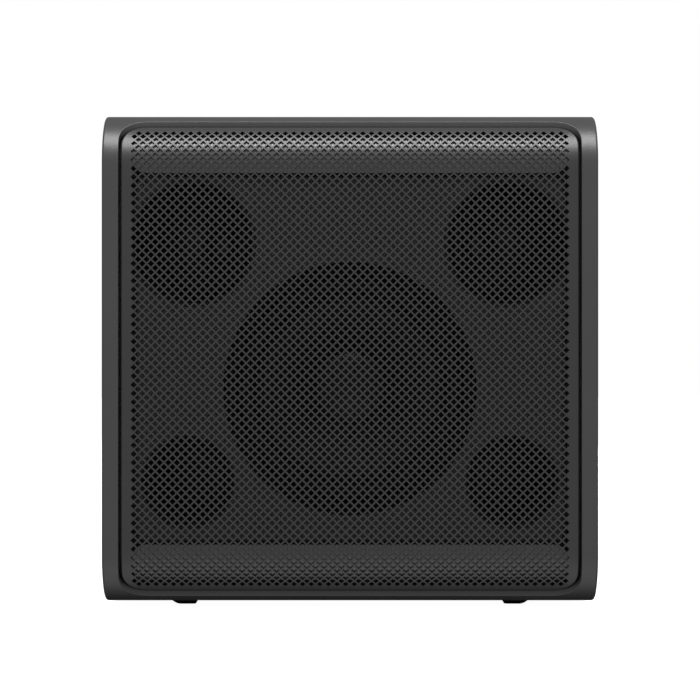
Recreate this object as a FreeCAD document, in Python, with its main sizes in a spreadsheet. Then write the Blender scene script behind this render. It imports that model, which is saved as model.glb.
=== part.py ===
"""A powered subwoofer cabinet: moulded shells, perforated front, one woofer, two angled mid
drivers, two reflex ports and a plate amplifier at the rear.

Frame: millimetres, +Z up, the front faces -Y, origin on the floor under the cabinet's centre.
Each sub-part is one labelled object; every label becomes parts/LABEL.step.
"""
import FreeCAD
import Part
import Sketcher
import math
import os
import re

Vec = FreeCAD.Vector
SIDES = (("left", -1), ("right", 1))

# alias, value, meaning
DIMENSIONS = [
    ("body_width", 300, "cabinet, left to right"),
    ("body_depth", 220, "cabinet, front to back"),
    ("body_height", 298, "cabinet without its feet"),
    ("foot_height", 4, "what the feet stand proud"),
    ("front_radius", 31, "roll of the front top and bottom edges"),
    ("rear_radius", 24, "roll of the rear top and bottom edges"),
    ("wall", 4, "shell wall"),
    ("side_edge", 1.6, "rounding of the side edges"),
    ("parting", 20, "rear end of the front shell, along Y"),
    ("seal_thickness", 0.8, "seal between the shells"),
    ("seal_inset", 1.2, "how far the seal sits below the skin"),
    ("window_half", 140, "half width of the front window"),
    ("window_angle", 59, "where the window ends on the rolled edge, degrees from the front"),
    ("window_corner", 17, "corner radius of the window"),
    ("ledge_y", -94, "plane of the ledge that carries the baffle"),
    ("boss_x", 139, "shell screw boss"),
    ("boss_z", 138, "shell screw boss"),
    ("boss_radius", 8, "shell screw boss"),
    ("shell_screw_seat", 50, "seat of the shell screw heads, along Y"),
    ("grille_recess", 2.3, "grille below the frame's skin"),
    ("grille_sheet", 1.2, "steel thickness of the grille"),
    ("grille_half", 138.5, "half width of the grille"),
    ("grille_angle", 56, "where the grille ends on the rolled edge"),
    ("grille_corner", 15.5, "corner radius of the grille"),
    ("stud_x", 134, "grille studs"),
    ("stud_pitch", 105, "grille studs, up the sides"),
    ("rim_screw_x", 143.3, "baffle screws"),
    ("rim_screw_z", 33.3, "baffle screws, half their pitch"),
    ("bar_gap", 0.4, "grille's inner face to the bars"),
    ("bar_half", 133.5, "half width of the bars behind the grille"),
    ("bar_low", 112.3, "inner edge of a bar, from the cabinet's centre"),
    ("bar_high", 133.2, "outer edge of a bar"),
    ("bar_corner", 6, "rounding of a bar's corners"),
    ("baffle_half_x", 145.5, "baffle rim"),
    ("baffle_half_z", 139.5, "baffle rim"),
    ("baffle_front", -101, "front plane of the raised panel"),
    ("baffle_back", -86, "rear plane of the baffle"),
    ("panel_half_x", 129.5, "raised panel"),
    ("panel_half_z", 110.5, "raised panel"),
    ("woofer_z", -18.2, "woofer axis, from the cabinet's centre"),
    ("woofer_hole", 77, "opening in front of the woofer"),
    ("woofer_flange_r", 82.5, "basket flange"),
    ("woofer_flange_t", 3.5, "basket flange"),
    ("woofer_frame_t", 2, "basket wall"),
    ("woofer_lip_out", 76, "surround's glued lip"),
    ("woofer_roll_out", 70, "surround roll"),
    ("woofer_roll_in", 57, "surround roll"),
    ("woofer_cone_lip", 53.5, "surround's inner lip"),
    ("woofer_rubber", 1, "surround thickness"),
    ("woofer_paper", 0.8, "cone thickness"),
    ("woofer_cone_depth", 26, "cone, edge to neck"),
    ("woofer_cone_bow", 75, "radius of the cone's flare"),
    ("woofer_cap_r", 23, "dust cap"),
    ("woofer_cap_y", 21, "dust cap's edge"),
    ("woofer_cap_rise", 6, "dust cap"),
    ("woofer_former_in", 18.6, "voice coil former"),
    ("woofer_former_out", 19, "voice coil former"),
    ("woofer_coil_out", 19.9, "voice coil winding"),
    ("woofer_shelf_y", 29, "spider shelf of the basket"),
    ("woofer_shelf_r", 48, "spider shelf"),
    ("woofer_shelf_w", 7, "spider shelf"),
    ("woofer_seat_r", 42, "rear of the basket"),
    ("woofer_frame_depth", 46, "flange to the basket's rear face"),
    ("woofer_plate_t", 6, "top plate"),
    ("woofer_plate_r", 40, "top plate"),
    ("woofer_bore_r", 20.6, "bore of the top plate"),
    ("woofer_magnet_r", 45, "ferrite ring"),
    ("woofer_magnet_in", 26, "ferrite ring"),
    ("woofer_magnet_t", 16, "ferrite ring"),
    ("woofer_pole_r", 17.9, "pole piece"),
    ("woofer_back_t", 6, "yoke's rear plate"),
    ("woofer_vent_r", 5, "vent through the pole"),
    ("woofer_screw_pcd", 159.5, "woofer screws"),
    ("mid_x", 88.3, "mid driver's centre"),
    ("mid_y", -72.8, "mid driver's centre"),
    ("mid_z", 70.3, "mid driver's centre, from the cabinet's centre"),
    ("mid_turn", 35, "how far the mid drivers face outwards, degrees"),
    ("mid_flange_r", 41, "basket flange"),
    ("mid_flange_t", 2, "basket flange"),
    ("mid_frame_t", 1.2, "basket wall"),
    ("mid_lip_out", 36.3, "surround's glued lip"),
    ("mid_roll_out", 33, "surround roll"),
    ("mid_roll_in", 25.5, "surround roll"),
    ("mid_cone_lip", 23.5, "surround's inner lip"),
    ("mid_rubber", 0.7, "surround thickness"),
    ("mid_paper", 0.5, "cone thickness"),
    ("mid_cone_depth", 11, "cone, edge to neck"),
    ("mid_cone_bow", 30, "radius of the cone's flare"),
    ("mid_cap_r", 10.2, "dust cap"),
    ("mid_cap_y", 8.62, "dust cap's edge"),
    ("mid_cap_rise", 3.2, "dust cap"),
    ("mid_former_in", 8, "voice coil former"),
    ("mid_former_out", 8.3, "voice coil former"),
    ("mid_coil_out", 8.9, "voice coil winding"),
    ("mid_shelf_y", 13, "spider shelf of the basket"),
    ("mid_shelf_r", 19.5, "spider shelf"),
    ("mid_shelf_w", 4, "spider shelf"),
    ("mid_seat_r", 19, "rear of the basket"),
    ("mid_frame_depth", 20, "flange to the basket's rear face"),
    ("mid_plate_t", 3, "top plate"),
    ("mid_plate_r", 18, "top plate"),
    ("mid_bore_r", 9.5, "bore of the top plate"),
    ("mid_magnet_r", 22, "ferrite ring"),
    ("mid_magnet_in", 12, "ferrite ring"),
    ("mid_magnet_t", 8, "ferrite ring"),
    ("mid_pole_r", 7.4, "pole piece"),
    ("mid_back_t", 3, "yoke's rear plate"),
    ("mid_vent_r", 2, "vent through the pole"),
    ("pod_x", 95.6, "centre of a mid opening"),
    ("pod_mouth", 36.6, "radius of a mid opening"),
    ("pod_throat", 36.8, "pod's inner radius at the driver"),
    ("pod_wall", 2.4, "pod wall"),
    ("can_radius", 41, "closed can behind a mid driver"),
    ("can_wall", 2, "closed can"),
    ("can_depth", 38, "closed can"),
    ("port_x", 98.6, "port axis"),
    ("port_z", -75, "port axis, from the cabinet's centre"),
    ("port_collar", 28.8, "port collar in the baffle"),
    ("port_mouth", 27.8, "port flare"),
    ("port_bore", 21, "port tube"),
    ("port_wall", 2, "port tube"),
    ("port_end", 2, "rear end of the port, along Y"),
    ("bay_z", -20, "amplifier bay's centre, from the cabinet's centre"),
    ("bay_width", 220, "amplifier bay"),
    ("bay_height", 170, "amplifier bay"),
    ("bay_depth", 14, "amplifier bay"),
    ("bay_floor", 3, "wall of the bay"),
    ("bay_opening_w", 200, "opening in the bay's floor"),
    ("bay_opening_h", 150, "opening in the bay's floor"),
    ("plate_width", 213, "amplifier plate"),
    ("plate_height", 163, "amplifier plate"),
    ("plate_thickness", 2, "amplifier plate"),
    ("plate_screw_x", 102.8, "amplifier plate screws"),
    ("plate_screw_z", 77.8, "amplifier plate screws"),
    ("control_z", 52, "row of controls, from the plate's centre"),
    ("level_x", 78, "level control"),
    ("crossover_x", 44, "crossover control"),
    ("phase_x", 12, "phase switch"),
    ("jack_x", -40, "first line input"),
    ("jack_pitch", 24, "line inputs"),
    ("led_x", -92, "power indicator"),
    ("knob_radius", 9.5, "control knobs"),
    ("knob_height", 10.6, "control knobs"),
    ("shaft_radius", 3, "control shafts"),
    ("mains_z", -54, "mains row, from the plate's centre"),
    ("inlet_x", -62, "mains inlet"),
    ("rocker_x", -26, "power switch"),
    ("rocker_pivot", 0.5, "rocker pivot below the plate's face"),
    ("rocker_tilt", 7, "rocker at rest, degrees"),
    ("sink_width", 186, "heat sink"),
    ("sink_height", 44, "heat sink"),
    ("sink_base", 3, "heat sink base"),
    ("sink_fin", 7.5, "heat sink fins"),
    ("sink_fins", 32, "heat sink fins"),
    ("board_y", 66, "front face of the circuit board"),
    ("board_width", 180, "circuit board"),
    ("board_height", 96, "circuit board"),
    ("board_thickness", 1.6, "circuit board"),
    ("foot_x", 96.2, "inner edge of a foot"),
    ("foot_width", 16.2, "foot"),
    ("foot_length", 42, "foot"),
    ("foot_front", -64, "front end of the front feet"),
    ("foot_rear", 84, "rear end of the rear feet"),
    ("foot_stem", 3, "stem pushed through the shell"),
]

doc = FreeCAD.newDocument("subwoofer")
dims = doc.addObject("Spreadsheet::Sheet", "Dims")
for row, (alias, amount, meaning) in enumerate(DIMENSIONS, start=1):
    dims.set(f"A{row}", alias)
    dims.set(f"B{row}", str(amount))
    dims.set(f"C{row}", meaning)
    dims.setAlias(f"B{row}", alias)
doc.recompute()

ALIAS = re.compile(r"\b(" + "|".join(sorted((d[0] for d in DIMENSIONS), key=len, reverse=True)) + r")\b")
subparts = []


# ---------------------------------------------------------------- expressions and sketches

def number(text):
    """Value of an expression over the sheet's aliases."""
    return float(dims.evalExpression(str(text)))


def bind(thing, prop, text):
    """Binds a property to an expression over the sheet's aliases."""
    thing.setExpression(prop, ALIAS.sub(r"Dims.\1", str(text)))


def arc_between(a, b, radius):
    """The short arc from a to b, and whether its own start is b. A positive radius turns left."""
    chord = b - a
    left = Vec(-chord.y, chord.x, 0).normalize()
    rise = math.sqrt(radius ** 2 - chord.Length ** 2 / 4)
    centre = (a + b) / 2 + left * math.copysign(rise, radius)
    start, end = (a, b) if radius > 0 else (b, a)
    angles = [math.atan2(p.y - centre.y, p.x - centre.x) for p in (start, end)]
    circle = Part.Circle(centre, Vec(0, 0, 1), abs(radius))
    return Part.ArcOfCircle(circle, *angles), radius < 0


def constrain(sketch, kind, place, text):
    """Adds a driving constraint whose value follows an expression."""
    index = sketch.addConstraint(Sketcher.Constraint(kind, *place, number(text)))
    if ALIAS.search(str(text)):
        bind(sketch, f"Constraints[{index}]", text)


def add_outline(sketch, outline):
    """A closed outline of (x, y) or (x, y, radius of the arc to the next point)."""
    first = sketch.GeometryCount
    points = [Vec(number(p[0]), number(p[1]), 0) for p in outline]
    ends = []
    for i, p in enumerate(outline):
        a, b = points[i], points[(i + 1) % len(points)]
        if len(p) == 3:
            arc, swapped = arc_between(a, b, number(p[2]))
            sketch.addGeometry(arc, False)
            constrain(sketch, "Radius", (first + i,), f"abs({p[2]})")
            ends.append((2, 1) if swapped else (1, 2))
        else:
            sketch.addGeometry(Part.LineSegment(a, b), False)
            ends.append((1, 2))
    for i, p in enumerate(outline):
        after = (i + 1) % len(points)
        joint = (first + i, ends[i][1], first + after, ends[after][0])
        sketch.addConstraint(Sketcher.Constraint("Coincident", *joint))
        constrain(sketch, "DistanceX", (-1, 1, first + i, ends[i][0]), p[0])
        constrain(sketch, "DistanceY", (-1, 1, first + i, ends[i][0]), p[1])


def add_circle(sketch, x, y, radius):
    index = sketch.GeometryCount
    centre = Vec(number(x), number(y), 0)
    sketch.addGeometry(Part.Circle(centre, Vec(0, 0, 1), number(radius)), False)
    constrain(sketch, "Radius", (index,), radius)
    constrain(sketch, "DistanceX", (-1, 1, index, 3), x)
    constrain(sketch, "DistanceY", (-1, 1, index, 3), y)


def draw(body, plane, outlines=(), circles=(), offset="0"):
    """A sketch on one of the body's own planes, moved along that plane's normal by offset."""
    sketch = body.newObject("Sketcher::SketchObject", "Sketch")
    support = next(f for f in body.Origin.OriginFeatures if f.Role == plane)
    sketch.AttachmentSupport = [(support, "")]
    sketch.MapMode = "FlatFace"
    bind(sketch, "AttachmentOffset.Base.z", offset)
    for outline in outlines:
        add_outline(sketch, outline)
    for circle in circles:
        add_circle(sketch, *circle)
    return sketch


def rectangle(half_x, half_y, x="0", y="0"):
    """Outline of a rectangle about (x, y)."""
    signs = ((-1, -1), (1, -1), (1, 1), (-1, 1))
    return [(f"{x} + {a} * ({half_x})", f"{y} + {b} * ({half_y})") for a, b in signs]


def rounded(half_x, half_y, radius, x="0", y="0"):
    """Outline of a rectangle about (x, y) with rounded corners."""
    outline = []
    for a, b in ((1, -1), (1, 1), (-1, 1), (-1, -1)):
        side = (f"{x} + {a} * ({half_x})", f"{y} + {b} * ({half_y} - {radius})")
        cap = (f"{x} + {a} * ({half_x} - {radius})", f"{y} + {b} * ({half_y})")
        start, end = (cap, side) if a * b < 0 else (side, cap)
        outline += [(*start, radius), end]
    return outline


# ---------------------------------------------------------------- solids

def new_body(label, at=("0", "0", "0"), turn=0.0, keep=True):
    """A body whose own origin sits at a point of the model, turned about Z by degrees."""
    body = doc.addObject("PartDesign::Body", label)
    body.Label = label
    body.AllowCompound = True
    body.Placement = FreeCAD.Placement(Vec(0, 0, 0), FreeCAD.Rotation(Vec(0, 0, 1), turn))
    for axis, text in zip("xyz", at):
        bind(body, f"Placement.Base.{axis}", text)
    if keep:
        subparts.append(body)
    return body


def cabinet_body(label, keep=True):
    """A body whose origin is the cabinet's centre."""
    return new_body(label, ("0", "0", "foot_height + body_height / 2"), keep=keep)


def extrude(body, kind, sketch, length, reverse=False, both=False):
    feature = body.newObject(f"PartDesign::{kind}", kind)
    feature.Profile = sketch
    bind(feature, "Length", length)
    feature.Reversed = reverse
    if both:
        feature.SideType = "Symmetric"
    doc.recompute()
    return feature


def turn_profile(body, kind, outline):
    """Revolves an outline of (radius, distance along +Y) about the body's Y axis."""
    sketch = draw(body, "XY_Plane", [outline])
    feature = body.newObject(f"PartDesign::{kind}", kind)
    feature.Profile = sketch
    feature.ReferenceAxis = (sketch, ["V_Axis"])
    feature.Angle = 360
    doc.recompute()
    return feature


def combine(body, tool, kind):
    """Cuts another body from this one, or keeps only what both share."""
    feature = body.newObject("PartDesign::Boolean", "Boolean")
    feature.setObjects([tool])
    feature.Type = kind
    body.Tip = feature
    doc.recompute()
    return feature


def edges_where(feature, test):
    edges = feature.Shape.Edges
    return [f"Edge{i + 1}" for i, edge in enumerate(edges) if test(edge)]


def soften(body, kind, test, size, prop="Radius"):
    """A fillet or chamfer on the edges of the tip that pass a test."""
    base = body.Tip
    feature = body.newObject(f"PartDesign::{kind}", kind)
    feature.Base = (base, edges_where(base, test))
    bind(feature, prop, size)
    doc.recompute()
    return feature


def pattern(body, feature, count):
    """Repeats a feature round the body's Y axis."""
    polar = body.newObject("PartDesign::PolarPattern", "PolarPattern")
    axis = next(f for f in body.Origin.OriginFeatures if f.Role == "Y_Axis")
    polar.Originals = [feature]
    polar.Axis = (axis, [""])
    polar.Angle = 360
    polar.Occurrences = count
    body.Tip = polar
    doc.recompute()
    return polar


def plain(label, shape):
    """A sub-part whose shape is set directly."""
    piece = doc.addObject("Part::Feature", label)
    piece.Label = label
    piece.Shape = shape
    subparts.append(piece)
    return piece


def copies(label, master, moves):
    """A node of separate, identical solids: copies of a master body at several placements."""
    solids = []
    for move in moves:
        shape = master.Shape.copy()
        shape.Placement = move.multiply(shape.Placement)
        solids += shape.Solids
    return plain(label, Part.makeCompound(solids))


def shift(x=0.0, y=0.0, z=0.0, rotation=None):
    return FreeCAD.Placement(Vec(x, y, z), rotation or FreeCAD.Rotation())


def ring(inner, outer, start, end):
    """Outline of a plain ring: radii and distances along the axis."""
    return [(inner, start), (outer, start), (outer, end), (inner, end)]


# ---------------------------------------------------------------- cabinet

def front_shell():
    body = cabinet_body("front_shell")
    front, height = "body_depth / 2", "body_height / 2"
    flat = "body_height / 2 - front_radius"
    outline = [
        ("parting", f"-({height})"),
        (f"front_radius - {front}", f"-({height})", "-front_radius"),
        (f"-({front})", f"-({flat})"),
        (f"-({front})", flat, "-front_radius"),
        (f"front_radius - {front}", height),
        ("parting", height),
    ]
    extrude(body, "Pad", draw(body, "YZ_Plane", [outline]), "body_width", both=True)
    half = number("body_width / 2")
    parting = number("parting")

    def on_side(edge):
        box = edge.BoundBox
        flat_edge = box.XLength < 0.01 and abs(abs(box.XMin) - half) < 0.01
        return flat_edge and box.YMin < parting - 0.01

    soften(body, "Fillet", on_side, "side_edge")
    hollow(body, "body_width / 2 - wall", "ledge_y", "parting + 1")
    hollow(body, "window_half + 1", "wall - body_depth / 2", "ledge_y + 3")

    window = front_prism("window_room", "window_half", "window_angle", "window_corner")
    combine(body, window, "Cut")

    bosses = draw(body, "XZ_Plane", circles=corner_circles("boss_radius"), offset="-parting")
    extrude(body, "Pad", bosses, "70")
    pilots = draw(body, "XZ_Plane", circles=corner_circles("1.5"), offset="-parting")
    extrude(body, "Pocket", pilots, "30", reverse=True)
    drill_feet(body, "foot_front + foot_length / 2")
    side_holes(body, "1.5", "10")
    return body


def front_prism(label, half_width, angle, corner):
    """A block through the front: straight at its sides, square to the skin at its rolled ends."""
    tool = new_body(label, keep=False)
    centre, flat = "(front_radius - body_depth / 2)", "(body_height / 2 - front_radius)"
    beyond = "(front_radius + 8)"
    tip_y, tip_z = f"{centre} - {beyond} * cos({angle})", f"{flat} + {beyond} * sin({angle})"
    ahead = "-body_depth / 2 - 12"
    outline = [
        (centre, flat), (tip_y, tip_z), (ahead, tip_z),
        (ahead, f"-({tip_z})"), (tip_y, f"-({tip_z})"), (centre, f"-{flat}"),
    ]
    extrude(tool, "Pad", draw(tool, "YZ_Plane", [outline]), f"2 * {half_width}", both=True)
    tilt = math.radians(number(angle))
    ways = [Vec(0, -math.cos(tilt), sign * math.sin(tilt)) for sign in (-1, 1)]

    def slanting(edge):
        along = edge.tangentAt(edge.FirstParameter)
        return max(abs(along.dot(way)) for way in ways) > 0.999

    soften(tool, "Fillet", slanting, corner)
    return tool


def hollow(body, half_width, start, end):
    """Clears the inside between two planes, following the rolled edges at wall thickness."""
    inner = "(front_radius - wall)"
    centre = "(front_radius - body_depth / 2)"
    flat = "(body_height / 2 - front_radius)"
    top = f"{flat} + {inner}"
    reach = f"{flat} + sqrt({inner} ^ 2 - ({centre} - ({start})) ^ 2)"
    outline = []
    if number(f"{centre} - ({end})") > 0:
        near = f"{flat} + sqrt({inner} ^ 2 - ({centre} - ({end})) ^ 2)"
        outline = [(end, f"-({near})", f"-{inner}"), (start, f"-({reach})"),
                   (start, reach, f"-{inner}"), (end, near)]
    else:
        outline = [(end, f"-({top})"), (centre, f"-({top})", f"-{inner}"), (start, f"-({reach})"),
                   (start, reach, f"-{inner}"), (centre, top), (end, top)]
    extrude(body, "Pocket", draw(body, "YZ_Plane", [outline]), f"2 * ({half_width})", both=True)


def corner_circles(radius):
    return [(f"{a} * boss_x", f"{b} * boss_z", radius) for a in (-1, 1) for b in (-1, 1)]


def rim_circles(radius):
    """Circles of the eight baffle screws."""
    return [
        (f"{a} * rim_screw_x", f"{b} * rim_screw_z", radius)
        for a in (-1, 1)
        for b in (-3, -1, 1, 3)
    ]


def side_holes(body, radius, depth):
    """Pilot holes for the baffle screws, from the ledge forwards."""
    sketch = draw(body, "XZ_Plane", circles=rim_circles(radius), offset="-ledge_y")
    extrude(body, "Pocket", sketch, depth, reverse=True)


def drill_feet(body, y):
    """Holes for the stems of one pair of feet."""
    circles = [(f"{a} * (foot_x + foot_width / 2 - 2)", y, "foot_stem") for a in (-1, 1)]
    sketch = draw(body, "XY_Plane", circles=circles, offset="-body_height / 2 - 1")
    extrude(body, "Pocket", sketch, "wall + 2", reverse=True)


def rear_shell():
    body = cabinet_body("rear_shell")
    back, height = "body_depth / 2", "body_height / 2"
    start = "parting + seal_thickness"
    flat = "body_height / 2 - rear_radius"
    outline = [
        (start, f"-({height})"),
        (f"{back} - rear_radius", f"-({height})", "rear_radius"),
        (back, f"-({flat})"),
        (back, flat, "rear_radius"),
        (f"{back} - rear_radius", height),
        (start, height),
    ]
    extrude(body, "Pad", draw(body, "YZ_Plane", [outline]), "body_width", both=True)
    half = number("body_width / 2")
    first = number(start)

    def on_side(edge):
        box = edge.BoundBox
        return box.XLength < 0.01 and abs(abs(box.XMin) - half) < 0.01 and box.YMax > first + 0.01

    soften(body, "Fillet", on_side, "side_edge")
    inner, top = "(rear_radius - wall)", "body_height / 2 - wall"
    inside = f"{back} - wall"
    cavity = [
        (f"{start} - 1", f"-({top})"),
        (f"{back} - rear_radius", f"-({top})", inner),
        (inside, f"-({flat})"),
        (inside, flat, inner),
        (f"{back} - rear_radius", top),
        (f"{start} - 1", top),
    ]
    extrude(body, "Pocket", draw(body, "YZ_Plane", [cavity]), "body_width - 2 * wall", both=True)
    bay_half = ("bay_width / 2", "bay_height / 2")
    block = [rounded(f"{bay_half[0]} + bay_floor", f"{bay_half[1]} + bay_floor", "9", y="bay_z")]
    depth = "bay_depth + bay_floor"
    sketch = draw(body, "XZ_Plane", block, offset=f"-({back} - 1)")
    extrude(body, "Pad", sketch, f"{depth} - 1")
    recess = draw(body, "XZ_Plane", [rounded(*bay_half, "6", y="bay_z")], offset=f"-({back} + 1)")
    extrude(body, "Pocket", recess, "bay_depth + 1", reverse=True)
    opening = [rounded("bay_opening_w / 2", "bay_opening_h / 2", "4", y="bay_z")]
    extrude(body, "Pocket", draw(body, "XZ_Plane", opening, offset=f"-({back} + 1)"), "40", reverse=True)

    bosses = draw(body, "XZ_Plane", circles=corner_circles("boss_radius"), offset="-96")
    extrude(body, "Pad", bosses, f"96 - ({start})")
    bores = draw(body, "XZ_Plane", circles=corner_circles("4.2"), offset=f"-({back} + 5)")
    extrude(body, "Pocket", bores, f"{back} + 5 - shell_screw_seat", reverse=True)
    holes = draw(body, "XZ_Plane", circles=corner_circles("2.2"), offset=f"-({back} + 5)")
    extrude(body, "Pocket", holes, "100", reverse=True)
    drill_feet(body, "foot_rear - foot_length / 2")
    pilots = draw(body, "XZ_Plane", circles=plate_screw_circles("1.4", "bay_z"), offset=f"-({back})")
    extrude(body, "Pocket", pilots, depth, reverse=True)

    def bay_rim(edge):
        box = edge.BoundBox
        on_face = box.YLength < 0.01 and abs(box.YMax - number(back)) < 0.01
        inside_x = max(abs(box.XMin), abs(box.XMax)) < number("bay_width / 2 + 1")
        return on_face and inside_x and box.ZMax < number("bay_z + bay_height / 2 + 1")

    soften(body, "Chamfer", bay_rim, "1.2", "Size")
    return body


def plate_screw_circles(radius, z="0"):
    spots = [(a, b) for a in (-1, 0, 1) for b in (-1, 1)] + [(-1, 0), (1, 0)]
    return [(f"{a} * plate_screw_x", f"{z} + {b} * plate_screw_z", radius) for a, b in spots]


def shell_seal():
    """A flat gasket that follows the walls where the two shells meet."""
    body = cabinet_body("shell_seal")
    outer = rectangle("body_width / 2 - seal_inset", "body_height / 2 - seal_inset")
    inner = rectangle("body_width / 2 - wall", "body_height / 2 - wall")
    sketch = draw(body, "XZ_Plane", [outer, inner], offset="-(parting + seal_thickness)")
    extrude(body, "Pad", sketch, "seal_thickness")
    bosses = draw(body, "XZ_Plane", circles=corner_circles("boss_radius"),
                  offset="-(parting + seal_thickness)")
    extrude(body, "Pad", bosses, "seal_thickness")
    holes = draw(body, "XZ_Plane", circles=corner_circles("2.2"), offset="-(parting + 2)")
    extrude(body, "Pocket", holes, "4", reverse=True)


def screw(label, head_r, head_t, shank_r, shank_l, recess_r):
    """A pan-head screw along -Y with a cross recess; the head's underside is at y = 0."""
    body = new_body(label, keep=False)
    profile = [
        ("0", head_t), (f"{head_r} * 0.6", head_t, f"{head_r} * -1.1"), (head_r, f"{head_t} * 0.45"),
        (head_r, "0"), (shank_r, "0"), (shank_r, f"1 - {shank_l}"),
        (f"{shank_r} * 0.3", f"-{shank_l}"), ("0", f"-{shank_l}"),
    ]
    turn_profile(body, "Revolution", profile)
    slot = f"{recess_r} * 0.28"
    arms = [rectangle(recess_r, slot), rectangle(slot, recess_r)]
    for arm in arms:
        sketch = draw(body, "XZ_Plane", [arm], offset=f"-{head_t} - 0.1")
        extrude(body, "Pocket", sketch, f"{head_t} * 0.55 + 0.1", reverse=True)
    return body


def fasteners(centre_z):
    """Screws and nuts of the cabinet, each kind one node."""
    back_z = centre_z + number("bay_z")
    long_screw = screw("master_shell_screw", "3.9", "2.8", "1.45", "58", "1.9")
    spots = [(a * number("boss_x"), b * number("boss_z")) for a in (-1, 1) for b in (-1, 1)]
    seat = number("shell_screw_seat")
    copies("shell_screws", long_screw, [shift(x, seat, centre_z + z) for x, z in spots])

    baffle_screw = screw("master_baffle_screw", "2.2", "1.8", "1.45", "17", "1.2")
    across, up = number("rim_screw_x"), number("rim_screw_z")
    spots = [(a * across, b * up) for a in (-1, 1) for b in (-3, -1, 1, 3)]
    back = number("baffle_back")
    copies("baffle_screws", baffle_screw, [shift(x, back, centre_z + z) for x, z in spots])

    plate_screw = screw("master_plate_screw", "3", "2", "1.35", "9", "1.5")
    face = number("body_depth / 2 - bay_depth + plate_thickness")
    spots = [(a, b) for a in (-1, 0, 1) for b in (-1, 1)] + [(-1, 0), (1, 0)]
    across, up = number("plate_screw_x"), number("plate_screw_z")
    moves = [shift(a * across, face, back_z + b * up) for a, b in spots]
    copies("amp_plate_screws", plate_screw, moves)

    nut = new_body("master_nut", keep=False)
    hexagon = [(f"3.1 * cos({60 * i})", f"3.1 * sin({60 * i})") for i in range(6)]
    sketch = draw(nut, "XZ_Plane", [hexagon], [("0", "0", "1.5")])
    extrude(nut, "Pad", sketch, "2.4", reverse=True)
    studs = [(a * number("stud_x"), b * number("stud_pitch")) for a in (-1, 1) for b in (-1, 0, 1)]
    copies("grille_nuts", nut, [shift(x, back, centre_z + z) for x, z in studs])

    woofer_screw = screw("master_woofer_screw", "2.6", "2", "1.45", "15", "1.4")
    radius = number("woofer_screw_pcd / 2")
    moves = []
    for i in range(8):
        angle = math.radians(22.5 + 45 * i)
        x, z = radius * math.cos(angle), radius * math.sin(angle)
        moves.append(shift(x, back + number("woofer_flange_t"), centre_z + number("woofer_z") + z))
    copies("woofer_screws", woofer_screw, moves)


def feet():
    """Rubber feet: flat tread, sloped outer side, and a stem pushed through the shell."""
    foot = new_body("master_foot", keep=False)
    width, rise = "foot_width", "foot_height"
    section = [
        ("0", "0"), (f"{width} * 0.62", "0", "9"), (width, rise), ("0", rise),
    ]
    sketch = draw(foot, "XZ_Plane", [section])
    extrude(foot, "Pad", sketch, "foot_length", both=True)

    def foot_end(edge):
        box = edge.BoundBox
        return box.ZLength > number(rise) - 0.1 and box.XLength < 0.1 and box.YLength < 0.1

    soften(foot, "Fillet", foot_end, "2.5")
    stem = draw(foot, "XY_Plane", circles=[(f"{width} / 2 - 2", "0", "foot_stem")], offset=rise)
    extrude(foot, "Pad", stem, "wall + 1.5")
    turned = FreeCAD.Rotation(Vec(0, 0, 1), 180)
    moves = []
    for y in (number("foot_front + foot_length / 2"), number("foot_rear - foot_length / 2")):
        moves.append(shift(number("foot_x"), y))
        moves.append(shift(-number("foot_x"), y, rotation=turned))
    copies("feet", foot, moves)


# ---------------------------------------------------------------- front

def grille():
    """The front sheet as one closed sheet: its perforation is finer than this model carries."""
    body = cabinet_body("grille")
    centre, flat = "(front_radius - body_depth / 2)", "(body_height / 2 - front_radius)"
    outer = "(front_radius - grille_recess)"
    inner = f"({outer} - grille_sheet)"
    out_y, in_y = f"{centre} - {outer}", f"{centre} - {inner}"

    def end(radius, sign):
        return (f"{centre} - {radius} * cos(75)", f"{sign} * ({flat} + {radius} * sin(75))")

    outline = [
        (*end(outer, 1), outer), (out_y, flat),
        (out_y, f"-{flat}", outer), end(outer, -1),
        (*end(inner, -1), f"-{inner}"), (in_y, f"-{flat}"),
        (in_y, flat, f"-{inner}"), end(inner, 1),
    ]
    extrude(body, "Pad", draw(body, "YZ_Plane", [outline]), "2 * grille_half + 10", both=True)
    block = front_prism("grille_room", "grille_half", "grille_angle", "grille_corner")
    combine(body, block, "Common")
    for sign in (-1, 1):
        x = f"{sign} * (grille_half - grille_sheet / 2)"
        fold = rectangle("grille_sheet / 2", f"{flat} - 4", x=x)
        flange = draw(body, "XZ_Plane", [fold], offset="-ledge_y")
        extrude(body, "Pad", flange, f"ledge_y - ({in_y}) + 0.2")
        for row in (-1, 0, 1):
            z = f"{row} * stud_pitch"
            tab = rectangle("4", "6", x=f"{sign} * (grille_half - 4)", y=z)
            extrude(body, "Pad", draw(body, "XZ_Plane", [tab], offset="-ledge_y"), "grille_sheet")
            spot = (f"{sign} * stud_x", z, "1.5")
            stud = draw(body, "XZ_Plane", circles=[spot], offset="-(baffle_back + 4)")
            extrude(body, "Pad", stud, "baffle_back + 4 - ledge_y + 0.5")


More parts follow.
